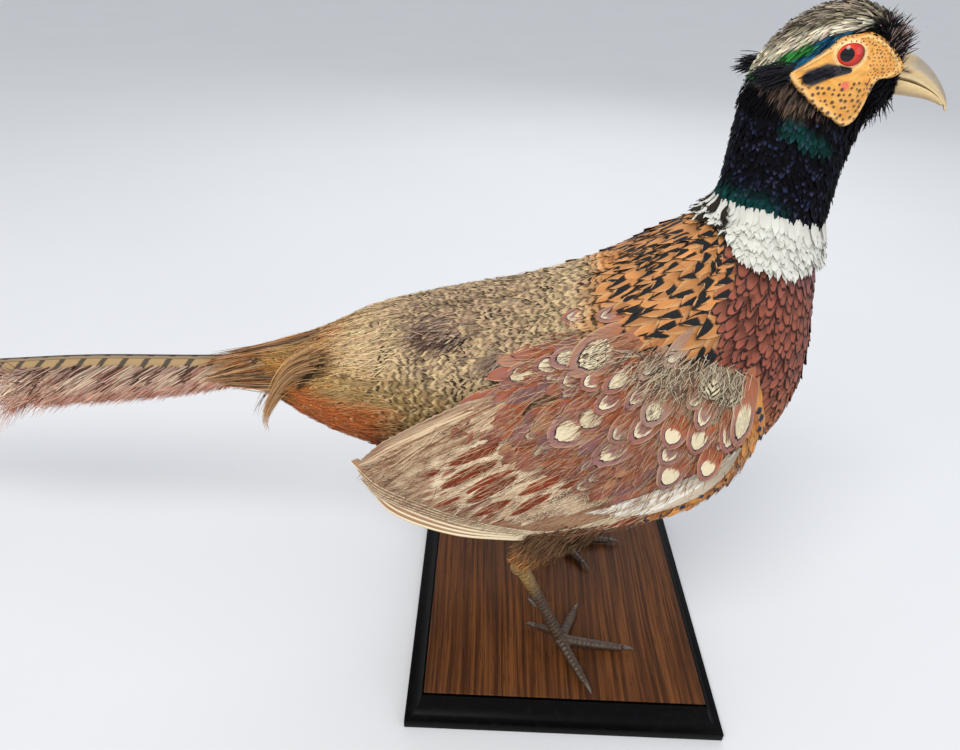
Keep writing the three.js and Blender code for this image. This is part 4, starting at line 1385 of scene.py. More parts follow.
def flight_feathers(side):
    """Secondaries and primaries, each a long vane with its pale shaft."""
    name = SIDE_NAMES[side]
    seed = 300 + side
    random = chance(seed)
    shafts = Coat(f"wing_shafts_{name}", SHAFT_FINISH, "flight_plumage")
    coat = Coat(f"secondary_vanes_{name}", STREAKED_FINISH, "flight_plumage")
    count, steps = 25, 52
    tips = spline(SECONDARY_TIPS, count)
    for k, tip in enumerate(tips):
        share = k / (count - 1)
        fall = math.radians(38 + 18 * share + random.uniform(-4, 4))
        length = (122 - 62 * share) * random.uniform(0.9, 1.04)
        t = np.linspace(1, 0, steps)[:, None]
        bow = random.uniform(2, 8) * np.sin(math.pi * t) * np.array([[math.sin(fall), -math.cos(fall)]])
        path = tip + t * length * np.array([math.cos(fall), math.sin(fall)]) - bow * (1 - share)
        depth = 0.3 + 0.13 * k + random.uniform(-0.2, 0.2) + 3 * ease(t[:, 0], 0.74, 1.0)
        widths = tapered(steps, 5.8 + random.uniform(-1, 1)), tapered(steps, 10.0 if k else 6.0)
        vane = long_vane(path, depth, side, widths, 8, 0.05, seed + k, 0.04)
        tint = rgb(140, 56, 28) if random.random() < 0.8 else rgb(134, 84, 76)
        tint = jittered(tint[None], seed + k)
        marked = alone(ease(vane[..., 0], -96, -78) * (k > 2))
        coat.add_one(vane, tint, (0.1 + 0.8 * share, 0.2), seed + k, marked[None], side)
    coat.made(f"secondaries_{name}", f"wing_coverts_{name}")

    coat = Coat(f"primary_vanes_{name}", PRIMARY_FINISH, "flight_plumage")
    count, steps = 7, 60
    for k in range(count):
        share = (k - 0.5) / (count - 1.5)
        path = spline(PRIMARY_TOP, steps) * (1 - share) + spline(PRIMARY_EDGE, steps) * share
        path = spline(path[: steps - (5 * k) % 4], steps)
        depth = 2.0 + 0.45 * k
        widths = tapered(steps, 1.5, 0.6, 0.05, 0.86), tapered(steps, 15, 0.6, 0.05, 0.9)
        vane = long_vane(path, depth, side, widths, 8, 0.03, seed + 40 + k, 0.02)
        tint = jittered(rgb(170, 130, 98)[None], seed + 50 + k, 0.06)
        coat.add_one(vane, tint, (0.15 + 0.1 * k, 0.6), seed + k, None, side)
        width = tapered(steps, 0.8, 1.0, 0.3, 0.8)
        shaft = long_vane(path, depth - 0.7, side, (width, width), 2, 0.5, seed, 0)
        shafts.add_one(shaft, rgb(240, 222, 186)[None], (0.5, 0.8), seed, None, side)
    coat.made(f"primaries_{name}")
    shafts.made()


# ---- Rump strands, tail ----

# Guides of the hanging lock, the groove over it, drawn as dark strands that paint its shadow, and the loose
# hairs behind it, on the right side.
LOCK = np.array([(-148, -30, 196), (-163, -29, 189), (-175, -27, 177), (-183, -25, 165), (-190, -23, 152),
                 (-194.5, -21, 140), (-194, -19, 129)], float)
GROOVE = np.array([(-148, -34.2, 195), (-154, -34.5, 190), (-160, -34.5, 183), (-166, -33.5, 174)], float)
LOOSE_HAIRS = np.array([(-186, -14, 168), (-194, -14, 160), (-201, -14, 148), (-205, -14, 136)], float)
# Partings in the back's plumage: x, z, spread along and across, hairs, length, turn, colour. The dark, narrow
# ones are painted shade in the partings' gaps.
PARTINGS = [
    (-80, 223, 9, 3.6, 120, 20, 0.3, (158, 132, 114)), (-83, 221, 5, 1.8, 70, 18, 0.55, (88, 64, 52)),
    (-73, 222.5, 3, 0.5, 16, 14, 0.75, (34, 27, 25)), (-46, 219, 5, 2, 60, 14, 0.55, (150, 124, 108)),
    (-46, 216.5, 2.5, 0.8, 22, 11, 0.8, (44, 35, 32))]


def strands_on(sheet, coat, wanted, spacing, length, width, lift, seed, tint_of, turn=0.0, base=-0.5, rows=8):
    """Loose hairlike feathers on a sheet."""
    row, col = scatter(sheet, lambda points: spacing, wanted, seed, rounds=2, trial=5)
    random = chance(seed + 1)
    grow = random.uniform(0.6, 1.25, len(row))
    here = sheet.at(row, col)
    lean = turn(here) if callable(turn) else turn
    vanes = lay(sheet, row, col, length * grow, width, lift, seed + 2, rows=rows, cols=1, outline=strand,
                turn=lean + 0.16 * bell(random, len(row)), base=base, camber=0, rag=0.02,
                bend=0.08 * bell(random, len(row)))
    coat.add(vanes, jittered(tint_of(here), seed + 3, 0.32), roots_on(sheet, row, col), seed + 4)


def free_strands(coat, paths, width, tint, seed, place):
    """Hanging strands: paths (n, k, 3), each a ribbon that turns a little along its length."""
    n, steps, _ = paths.shape
    random = chance(seed)
    flow = unit(np.gradient(paths, axis=1))
    facing = unit(bell(random, n, 1, 3) + np.array([0, -1.5, 0.5]))
    side = unit(np.cross(flow, facing))
    half = width / 2 * strand(np.linspace(0, 1, steps))[None, :, None] * np.ones((n, 1, 1))
    grid = np.stack([paths - side * half, paths + side * half], 2)
    coat.add(grid, jittered(np.zeros((n, 3)) + tint, seed + 1, 0.2), place, seed + 2)


def rump_strands(sheet):
    """Loose barbs over the rump and shorter ones over the back."""
    coat = Coat("rump_strands", HAIR_FINISH, "rump_plumage")
    random = chance(399)

    def clear_of_wing(x, z, grow):
        return ~inside_outline(WING_OUTLINE, x, z, grow)

    def rump(points):
        x, z = side_view(points)
        return ease(x, -96, -128) * (x > -176) * clear_of_wing(x, z, -10)

    def low(points):
        x, z = side_view(points)
        return (x < -92) & (x > -182) & (z < 188) & clear_of_wing(x, z, -10)

    def upper(points):
        x, z = side_view(points)
        return (x > -112) & (x < -6) & (z > 204) & clear_of_wing(x, z, -6)

    def lie(points):
        x, y, z = np.moveaxis(points, -1, 0)
        return -np.sign(y) * (0.12 + 0.16 * np.sin(x / 11 + z / 7) - 0.25 * ease(z, 176, 160))

    def mixed(points):
        pick = random.random((len(points), 1))
        ground = picked(pick, (0.5, 0.8), (208, 184, 142), (142, 112, 88), (60, 46, 36))
        return ground * np.where(points[:, :1] < -60, 0.9, 1.0)

    strands_on(sheet, coat, rump, 2.0, 19, 1.0, 1.3, 401, lambda p: body_tint(p) * 1.4, lie, -0.7)
    strands_on(sheet, coat, low, 2.1, 18, 0.9, 1.6, 405, lambda p: body_tint(p) * 1.55, lie, -0.7)
    strands_on(sheet, coat, rump, 3.0, 22, 0.6, 1.4, 411, lambda p: body_tint(p) * 2.0, lie, -0.4)
    strands_on(sheet, coat, upper, 3.9, 8, 0.45, 1.2, 415, mixed, lie, -0.4, 5)
    coat.made()


def tail_root_strands(sheet):
    """Long barbs that sweep down over the root of the tail, the hanging lock and the back's partings."""
    coat = Coat("tail_root_strands", HAIR_FINISH, "rump_plumage")
    random = chance(431)
    t = np.linspace(0, 1, 12)[None, :, None]
    sweep(sheet, coat, random, t)
    # the dark strands along GROOVE are a painted shadow where the upper strands overhang the lock
    for guide, count, spread, shade in ((LOCK, 300, 4.0, rgb(196, 152, 104)),
                                        (GROOVE, 60, 0.7, rgb(66, 50, 30)),
                                        (LOOSE_HAIRS, 12, 3.4, rgb(130, 104, 84))):
        fine = spline(guide, 60)
        first = random.uniform(0, 0.6 if guide is GROOVE else 0.12, (count, 1, 1))
        length = 0.4 if guide is GROOVE else random.uniform(0.5, 0.88, (count, 1, 1))
        at = first + t * length
        curve = np.stack([np.interp(at[..., 0], np.linspace(0, 1, 60), fine[:, k]) for k in range(3)], -1)
        narrow = 1.15 - 1.0 * at ** 0.7 if guide is LOCK else 1 + 0 * at
        path = curve + bell(random, count, 1, 3) * spread * narrow
        path = path + bell(random, count, 1, 3) * 0.5 * t
        free_strands(coat, path, 0.6, shade, 441 + count, random.random((count, 2)))

    flat = np.where(sheet.points[..., 1:2] < 0, sheet.points, 1e6).reshape(-1, 3)
    # the partings with dark colours paint the shade inside each gap
    for x, z, wide, tall, count, length, turn, shade in PARTINGS:
        place = np.array([x, z]) + bell(random, count, 2) * (wide, tall)
        near = np.array([np.argmin((flat[:, 0] - p[0]) ** 2 + (flat[:, 2] - p[1]) ** 2) for p in place])
        row = near // sheet.shape[1] + random.random(count)
        col = near % sheet.shape[1] + random.random(count)
        vanes = lay(sheet, row, col, length * random.uniform(0.7, 1.2, count), 0.8, 1.6, 451, rows=6, cols=1,
                    outline=strand, base=-0.2, camber=0, turn=turn + 0.26 * bell(random, count),
                    bend=0.1 * bell(random, count))
        coat.add(vanes, jittered(np.tile(rgb(*shade), (count, 1)), 452, 0.3), roots_on(sheet, row, col), 453)
    coat.made()


def sweep(sheet, coat, random, t):
    """The long barbs of the tail's root, some darkened in bands as painted shade that reads as gaps between
    clumps.
    """
    def root_of_tail(points):
        x, z = side_view(points)
        return ease(x, -126, -158) * (x > -205) * ease(z, 168, 176)

    row, col = scatter(sheet, lambda p: 1.6, root_of_tail, 433, 1, 4)
    start = (sheet.at(row, col) + sheet.read(sheet.normals, row, col) * 0.3)[:, None]
    count = len(start)
    x, y, z = start[..., 0], start[..., 1], start[..., 2]
    end_x = np.maximum(np.minimum(x - random.uniform(26, 58, (count, 1)), -181),
                       random.uniform(-246, -208, (count, 1)))
    ridge = np.interp(-end_x, -TAIL_CURVE[:, 0], TAIL_CURVE[:, 1])
    under = ease(z, 200, 176)
    down = random.uniform(0.2, 15, (count, 1)) * (0.45 + 0.55 * under)
    down = np.minimum(down + 6 * ease(np.abs(y), 4, 14) + 6 * under ** 2, 20 - 4 * ease(end_x, -205, -240))
    end = np.stack([end_x, np.sign(y) * (1.5 + 0.6 * down), ridge + 3.5 - down], -1)
    middle = np.stack([x - 0.45 * (x - end_x), 0.6 * y + 0.4 * end[..., 1],
                       0.42 * z + 0.58 * end[..., 2] + 2.0], -1)
    path = start * (1 - t) ** 2 + middle * 2 * t * (1 - t) + end * t ** 2
    path = path + bell(random, count, 1, 3) * t * (0, 0.8, 1.0)
    pick = random.random((count, 1))
    clump_gap_shade = np.sin(z * 1.1 + x * 0.5 + y * 0.4)
    tint = picked(pick, (0.5, 0.7), (188, 150, 108), (134, 102, 76), (190, 120, 66))
    # painted shade: strands in these bands are dark, as if in the gaps between clumps
    tint = np.where((clump_gap_shade > 0.55) & (pick > 0.2), rgb(78, 56, 40), tint)
    free_strands(coat, path, 0.8, tint, 435, roots_on(sheet, row, col))


def tail_frame(side, x):
    """The ridge of the tail at some x, the way out over one slope of its roof, and that slope's normal."""
    z = np.interp(-x, -TAIL_CURVE[:, 0], TAIL_CURVE[:, 1])
    ridge = np.stack([x, 0 * x, z], -1)
    out = np.array([0, -side * math.cos(ROOF_PITCH), -math.sin(ROOF_PITCH)])
    normal = np.array([0, -side * math.sin(ROOF_PITCH), math.cos(ROOF_PITCH)])
    return ridge, out, normal


def tail_feather(coat, side, start, end, inner, outer, sink, seed, tint):
    """One tail vane on a slope of the roof, from start to end and from inner to outer mm off the ridge."""
    steps, cols = 130, 10
    x = np.linspace(start, end, steps)
    ridge, out, normal = tail_frame(side, x)
    a = np.linspace(0, 1, steps)
    narrow = np.clip(1 - ease(a, 0.72, 1.03), 0.05, 1)
    b = np.linspace(0, 1, cols + 1)
    random = chance(seed)
    reach_out = inner(a)[:, None] + (outer(a) * narrow - inner(a) * narrow)[:, None] * b
    rag = bell(random, steps, cols + 1) * 0.5 * b ** 4
    sag = 0.004 * reach_out ** 2
    grid = ridge[:, None] + out * (reach_out + rag)[..., None] - normal * (sink + sag)[..., None]
    run = np.broadcast_to(((-178 - x) / 1000)[:, None], (steps, cols + 1))
    mark = np.stack([run, (reach_out - 1.0) / 1000, 0 * run], -1)[None]
    coat.add_one(grid, jittered(tint[None], seed), (0.5 + 0.4 * side, 0.3), seed, mark, side)


def tail():
    coat = Coat("tail_vanes", tail_finish(), "tail_plumage")
    fringe = Coat("tail_fringe", HAIR_FINISH, "tail_plumage")
    shafts = Coat("tail_shafts", SHAFT_FINISH, "tail_plumage")
    for side in SIDES.values():
        seed = 500 + side
        tail_feather(coat, side, -176, -638, lambda a: 0 * a + 0.4,
                     lambda a: np.interp(a, [0, 0.12, 0.3, 0.35, 0.42, 0.6, 0.85, 1],
                                         [14, 19, 22, 11, 10, 14, 10, 4]), -0.4, seed, rgb(178, 148, 106))
        for k, (end, near, far) in enumerate([(-362, 12, 30), (-350, 14, 28), (-338, 14, 25), (-310, 12, 22)]):
            widths = np.array([12, 17, 22, 26, 30, 20]) * far / 30

            def inner(a):
                return 0.5 * near + 0.5 * near * ease(a, 0, 0.3) - 6 * ease(a, 0.5, 1)

            def outer(a):
                return np.interp(a, [0, 0.15, 0.33, 0.55, 0.8, 1], widths)

            tail_feather(coat, side, -180 - 2 * k, end, inner, outer, 0.9 + 0.8 * k, seed + 10 + k,
                         rgb(158, 128, 100))
        tail_fringe(fringe, side, seed)
        ridge, out, normal = tail_frame(side, np.linspace(-180, -632, 90))
        b = np.array([-1, 0, 1.0])
        shaft = (ridge[:, None] + out * (1.6 + b * 0.7)[None, :, None]
                 + normal * (0.8 + 0.5 * (1 - b ** 2))[None, :, None])
        shafts.add_one(shaft, rgb(150, 128, 100)[None], (0.5, 0.5), seed, None, side)
    coat.made(*[f"{part}_{side}" for part in ("tail_middle", "tail_outer") for side in SIDES])
    fringe.made()
    shafts.made()


def tail_fringe(fringe, side, seed):
    """The frayed barbs of the tail's lower half, sparser and wilder towards the end."""
    random = chance(seed + 30)
    count, steps = 6200, 8
    x = -186 - 440 * random.random(count) ** 1.12
    thin = np.sin(x * 0.35 + side) + np.sin(x * 0.17 + 2 * side)
    x = x[random.random(count) > 0.93 * ease(x, -322, -350) * ease(thin, -0.1, 0.6)]
    count = len(x)
    ridge, out, normal = tail_frame(side, x)
    wild = ease(x, -310, -380)
    lean = np.radians(33 + 3.5 * bell(random, count) * (1 + 4 * wild))
    foot = np.interp(-x, [186, 207, 240, 280, 323, 380, 420, 640], [15, 20, 25, 29.5, 33, 36, 36, 14])
    start = 6.5 + random.random(count) ** 0.8 * (foot - 12)
    length = (17 + 13 * (ease(-x, 186, 300) * ease(-x, 640, 420))) * random.uniform(0.7, 1.1, count)
    length = np.minimum(length, (foot + random.uniform(-1, 2.5, count) - start) / np.sin(lean.clip(0.2)))
    t = np.linspace(0, 1, steps)[None, :, None]
    run = length[:, None, None] * t
    curl = bell(random, count, 1, 1) * (0.02 + 0.12 * wild[:, None, None])
    lift = (0.6 + random.random(count) * 2.4)[:, None, None]
    lean = lean[:, None, None]
    path = (ridge[:, None] + out * (start[:, None, None] + run * np.sin(lean) + curl * run * t * 3)
            + np.array([-1.0, 0, -0.11]) * run * np.cos(lean)
            + normal * (lift * np.sin(np.pi * (0.15 + 0.8 * t))))
    side_way = unit(np.cross(unit(np.gradient(path, axis=1)), normal))
    half = 0.42 * strand(np.linspace(0, 1, steps))[None, :, None]
    grid = np.stack([path - side_way * half, path + side_way * half], 2)
    pick = random.random((count, 1))
    slit = np.sin(x * 0.42) * np.sin(x * 0.19 + 1)
    tint = picked(pick, (0.6, 0.76), (188, 154, 134), (170, 118, 96), (220, 194, 166))
    tint = np.where((slit > 0.35)[:, None] & (pick > 0.25), rgb(92, 62, 50), tint)
    tint = blend(tint, rgb(186, 118, 98), ease(start, 0.45 * foot, 0.8 * foot) * 0.5)
    place = np.stack([0.25 + 0.5 * (side > 0) + 0.2 * random.random(count), (-178 - x) / 470], -1)
    fringe.add(grid, jittered(tint, seed + 31, 0.15), np.clip(place, 0, 1), seed + 32, flip=side > 0)


# ---- Thighs ----

def thigh_sheet(side):
    """The feathered thigh: rings round its line, from the ankle (row 0) up into the body."""
    leg = LEGS[SIDE_NAMES[side]]
    joint_y, (ankle_x, ankle_y, ankle_z) = leg["joint"][1], leg["ankle"]
    line = np.array([(ankle_x, ankle_y, ankle_z + 3), (-12, 0.95 * ankle_y, 96), (6, 0.72 * joint_y, 122),
                     (22, 0.62 * joint_y, 150)], float)
    radii = np.array([6.5, 17, 27, 30]) - 2.5
    rows, columns = 48, 48
    centre = spline(line, rows)
    run = np.linspace(0, 1, rows)
    own = np.concatenate([[0], np.cumsum(np.linalg.norm(np.diff(line, axis=0), axis=1))])
    radius = np.interp(run * own[-1], own, radii)
    flow = unit(np.gradient(centre, axis=0))
    across = unit(np.cross(flow, np.array([0, 1.0, 0])))
    other = np.cross(flow, across)
    angle = np.arange(columns) / columns * 2 * math.pi
    ring = (across[:, None] * np.cos(angle)[None, :, None] + other[:, None] * np.sin(angle)[None, :, None])
    points = centre[:, None] + ring * radius[:, None, None]
    return Sheet(points, ring, closed=True)


def thigh_plumage():
    coat = Coat("thigh_plumage", HAIR_FINISH, "thigh_plumage")
    for side in SIDES.values():
        sheet = thigh_sheet(side)

        def tint_of(points):
            brown = np.tile(rgb(92, 66, 42), (len(points), 1))
            return blend(brown, rgb(150, 104, 58), ease(points[..., 2], 104, 78))

        strands_on(sheet, coat, lambda p: p[..., 2] < 128, 2.4, 20, 2.2, 3.0, 600 + side, tint_of, rows=6)
        strands_on(sheet, coat, lambda p: p[..., 2] < 110, 2.0, 14, 1.4, 4.5, 610 + side, tint_of, rows=6)
    coat.made()


# ---- Head: faces, eyes, bill, tufts ----

FACE_EDGE = [(90, 372.6), (95, 373.6), (100, 374.6), (108, 371), (115, 364.5), (116, 360.6), (112.6, 358),
             (107.4, 356.6), (105.6, 351.5), (104.8, 345.5), (103, 339.5), (98.5, 337), (92, 340), (84, 344.5),
             (76, 350.5), (70, 356.6), (74, 360.2), (81, 366.2), (85.5, 369.8)]
LID_RADIUS = 5.5


def face_dots(seed):
    """Places and radii of the dark papillae: large and spaced low down, small and dense before the eye."""
    random = chance(seed)
    dots = []
    for low, high, pitch, radius, test in (
            (336, 360, 2.8, 0.72, lambda x, z: z < 355 + 0.12 * (x - 90)),
            (352, 374, 1.6, 0.36, lambda x, z: x > 101.5),
            (360, 376, 1.9, 0.3, lambda x, z: (x <= 101.5) & (z > 371 - 0.6 * abs(x - 90)))):
        for i, z in enumerate(np.arange(low, high, pitch * 0.87)):
            for x in np.arange(66 + (i % 2) * pitch / 2, 118, pitch):
                at_x, at_z = x + random.normal(0, 0.16) * pitch, z + random.normal(0, 0.16) * pitch
                if test(at_x, at_z):
                    dots.append((at_x, at_z, radius * random.uniform(0.7, 1.25)))
    return np.array(dots)


def face_finish():
    paint = Finish("face_skin", 0.42, 0.5, 0.1)
    tint, _ = paint.attribute("Tint")
    grain = paint.noise(paint.place(), 1400.0, 3.0)
    fine = paint.cells(paint.place(), 1500.0)
    return paint.done(paint.shade(tint, grain * 0.5 + 0.75), grain + fine * 0.6, 0.35, 0.0004)


def face(tree, side):
    """The bare face as a ring of skin from the lids to its raised rim, pitted with dark papillae."""
    name = SIDE_NAMES[side]
    rings, spokes = 96, 320
    edge = spline(FACE_EDGE + FACE_EDGE[:1], 400)
    away = edge - EYE[[0, 2]]
    bearing, distance = np.arctan2(away[:, 1], away[:, 0]), np.linalg.norm(away, axis=1)
    order = np.argsort(bearing)
    turn = np.linspace(-math.pi, math.pi, spokes, endpoint=False)
    rim = np.interp(turn, bearing[order], distance[order], period=2 * math.pi)
    share = np.linspace(0, 1, rings)[:, None]
    lid_at = LID_RADIUS * (1 - 0.17 * np.sin(turn) ** 2)
    radius = lid_at * 0.93 + (rim + 0.6 - lid_at * 0.93) * share
    x = EYE[0] + radius * np.cos(turn)
    z = EYE[2] + radius * np.sin(turn)
    out = np.array([[160 - reach(tree, (a, -160, b), (0, 1, 0)) for a, b in zip(*pair)] for pair in zip(x, z)])
    out = softened(np.where(np.isnan(out), 6, out)[..., None], 3)[..., 0]
    gaps = np.full(x.shape, 9.0)
    for dot_x, dot_z, dot_radius in face_dots(700):
        gaps = np.minimum(gaps, np.hypot(x - dot_x, z - dot_z) / dot_radius)
    patch_width = np.interp(x, [76, 84, 95], [4.4, 4.0, 1.2])
    patch = near_line(x, z, [(79, 356.6), (85, 359.6), (94, 360.4)], patch_width)
    dark = (1 - ease(gaps, 0.75, 1.15)) * (1 - patch)
    from_edge = rim - radius
    lid = np.exp(-((radius - lid_at * 1.12) / 0.9) ** 2)
    folds = np.sin(radius * 2.1 + 0.8 * np.sin(turn * 5)) * ease(radius, 7.5, 9) * ease(radius, 16, 11)
    crease = np.exp(-((z - 357.5 - 0.1 * (x - 90)) / 1.6) ** 2)
    proud = (1.3 + 0.6 * np.exp(-((from_edge - 1.7) / 1.1) ** 2) - 2.4 * ease(from_edge, 0.9, -0.6) + 1.5 * lid
             + 0.12 * folds + 0.32 * (1 - ease(gaps, 0.4, 1.6))
             - 0.5 * crease * ease(x, 92, 100) * ease(x, 116, 108))
    over_ball = -EYE[1] + np.sqrt(np.clip(EYE_RADIUS ** 2 - radius ** 2, 0, None)) + 0.35
    raised = np.maximum(out + proud, over_ball) - 1.3 * ease(radius, lid_at * 1.03, lid_at * 0.93)
    points = np.stack([x, -side * raised, z], -1)
    cloud = np.sin(x * 0.55 + 1.3 * np.sin(z * 0.4)) * np.sin(z * 0.6 + x * 0.2)
    tint = layered(
        np.tile(rgb(216, 146, 54), x.shape + (1,)),
        ((224, 168, 80), 0.4 + 0.4 * cloud),
        ((238, 204, 142), np.exp(-(from_edge - 1.4) ** 2) * 0.5),
        ((236, 214, 160), lid * 0.75),
        ((218, 92, 80), (1 - ease(np.hypot(x - 93.2, (z - 354.4) * 1.1), 1.0, 2.6)) * 0.85),
        ((62, 36, 20), dark * 0.92),
        ((22, 20, 28), patch),
        # painted shade: the lid's lip darkens where it turns in to the eye
        ((40, 28, 24), ease(radius, lid_at, lid_at * 0.96) * 0.9))
    faces = grid_faces(rings, spokes, closed=True)
    if side > 0:
        faces = faces[:, ::-1]
    unwrap = np.stack([0.5 + 0.45 * share * np.cos(turn), 0.5 + 0.45 * share * np.sin(turn)], -1).reshape(-1, 2)
    piece = new_mesh_piece(f"face_skin_{name}", to_row(points).reshape(-1, 3), faces, FACE_FINISH,
                           {"OFBake": unwrap, "Tint": tint.reshape(-1, 3)})
    keep(piece, "face_skin", f"face_{name}")


def eye_finish(name, side):
    """Red iris, round dark pupil and a dark rim, by the distance from the eye's axis; clear coat over all."""
    paint = Finish(name, 0.12, 0.2, coat=0.4)
    paint.shader.inputs["Coat Roughness"].default_value = 0.03
    centre = to_row(EYE * (1, side, 1))
    axis = unit(np.array([-0.34, -0.94 * side, 0.0]))
    c, s = math.cos(BIRD_TURN), math.sin(BIRD_TURN)
    axis = np.array([c * axis[0] - s * axis[1], s * axis[0] + c * axis[1], axis[2]])
    x, y, z = paint.parts(paint.place())
    x, y, z = x - float(centre[0]), y - float(centre[1]), z - float(centre[2])
    ahead = x * float(axis[0]) + y * float(axis[1]) + z * float(axis[2])
    away = (x * x + y * y + z * z - ahead * ahead).most(0.0) ** 0.5 * 1000.0
    fibre = paint.noise(paint.vector(x * 900.0, y * 900.0, z * 900.0), 1.0, 2.0)
    iris = paint.mix(away.step(2.4, 5.6), rgb(214, 60, 34), rgb(176, 26, 22))
    iris = paint.shade(iris, fibre * 0.6 + 0.7)
    colour = paint.mix(away.step(2.95, 2.65), iris, rgb(10, 9, 12))
    colour = paint.mix(away.step(5.7, 6.1), colour, rgb(28, 14, 12))
    return paint.done(colour)


def eye(side):
    name = SIDE_NAMES[side]
    deselect_all()
    centre = to_row(EYE * (1, side, 1))
    bpy.ops.mesh.primitive_uv_sphere_add(segments=64, ring_count=40, radius=EYE_RADIUS / 1000, location=centre,
                                         rotation=(math.pi / 2, 0, 0))
    ball = bpy.context.object
    ball.name = f"eye_{name}_glass"
    bpy.ops.object.transform_apply(location=True, rotation=True, scale=True)
    bpy.ops.object.shade_smooth()
    ball.data.materials.append(eye_finish(f"eye_glass_{name}", side))
    keep(ball, "eye_glass", f"eye_{name}")


def bill_finish():
    paint = Finish("bill_horn", 0.34, 0.5, coat=0.15)
    tint, _ = paint.attribute("Tint")
    x, y, z = paint.parts(paint.place())
    grain = paint.noise(paint.vector(x * 260.0, y * 900.0, z * 900.0), 1.0, 3.0)
    flakes = paint.noise(paint.place(), 380.0, 4.0, 0.65)
    shade = grain * 0.3 + flakes * 0.3 + 0.7
    return paint.done(paint.shade(tint, shade), grain + flakes, 0.2, 0.0004, rough=flakes * 0.25 + 0.24)


def mandible(name, line, heights, widths, profile, tint_of, node):
    """Half of the bill as rings round its line; profile(turn) gives a ring's height and width shares."""
    steps, spokes = 64, 48
    centre = spline(line, steps)
    own = np.linspace(0, 1, len(heights))
    a = np.linspace(0, 1, steps)
    smooth_own = spline(np.stack([own * 100, heights, widths], -1), 200)
    height = np.interp(a * 100, smooth_own[:, 0], smooth_own[:, 1])[:, None]
    width = np.interp(a * 100, smooth_own[:, 0], smooth_own[:, 2])[:, None]
    flow = unit(np.gradient(centre, axis=0))
    up = unit(np.stack([-flow[:, 2], 0 * flow[:, 0], flow[:, 0]], -1))
    turn = np.arange(spokes) / spokes * 2 * math.pi
    tall, wide = profile(turn)
    points = (centre[:, None] + up[:, None] * (tall * height)[..., None]
              + np.array([0, -1.0, 0]) * (wide * width)[..., None])
    x, _, z = np.moveaxis(points, -1, 0)
    if "upper" in name:
        swell = np.exp(-((x - 121.5) / 3.4) ** 2 - ((z - 361.5) / 2.3) ** 2)
        slit = np.exp(-((x - 122.5) / 2.6) ** 2 - ((z - 359.6 + 0.12 * (x - 122)) / 0.55) ** 2)
        line_in = np.exp(-((tall + 0.36) / 0.09) ** 2) * ease(x, 114, 118) * ease(x, 147, 142)
        points[..., 1] += -np.sign(wide) * (0.55 * swell - 0.8 * slit) * np.abs(wide)
        points[..., 1] += np.sign(wide) * 0.22 * line_in
    else:
        slit = 0 * x
    tint = tint_of(x, z, a[:, None] + 0 * x, tall + 0 * x, slit)
    faces = grid_faces(steps, spokes, closed=True)
    all_points = np.concatenate([points.reshape(-1, 3), [points[-1].mean(0), points[0].mean(0)]])
    ring, n = np.arange(spokes), steps * spokes
    last = n - spokes
    caps = np.concatenate([np.stack([last + ring, 0 * ring + n, last + (ring + 1) % spokes], -1),
                           np.stack([ring, (ring + 1) % spokes, 0 * ring + n + 1], -1)])
    triangles = np.concatenate([faces[:, [0, 1, 2]], faces[:, [0, 2, 3]], caps])
    tint = np.concatenate([tint.reshape(-1, 3), tint[-1].mean(0)[None], tint[0].mean(0)[None]])
    u = np.append(np.tile(turn / (2 * math.pi), steps), [0.5, 0.5])
    v = np.append(np.repeat(a, spokes), [1, 0])
    piece = new_mesh_piece(name, to_row(all_points), triangles, BILL_FINISH,
                           {"OFBake": np.stack([u, v], -1), "Tint": tint})
    only(piece)
    bpy.ops.object.mode_set(mode="EDIT")
    bpy.ops.mesh.select_all(action="SELECT")
    bpy.ops.mesh.normals_make_consistent(inside=False)
    bpy.ops.object.mode_set(mode="OBJECT")
    keep(piece, "bill_horn", node)


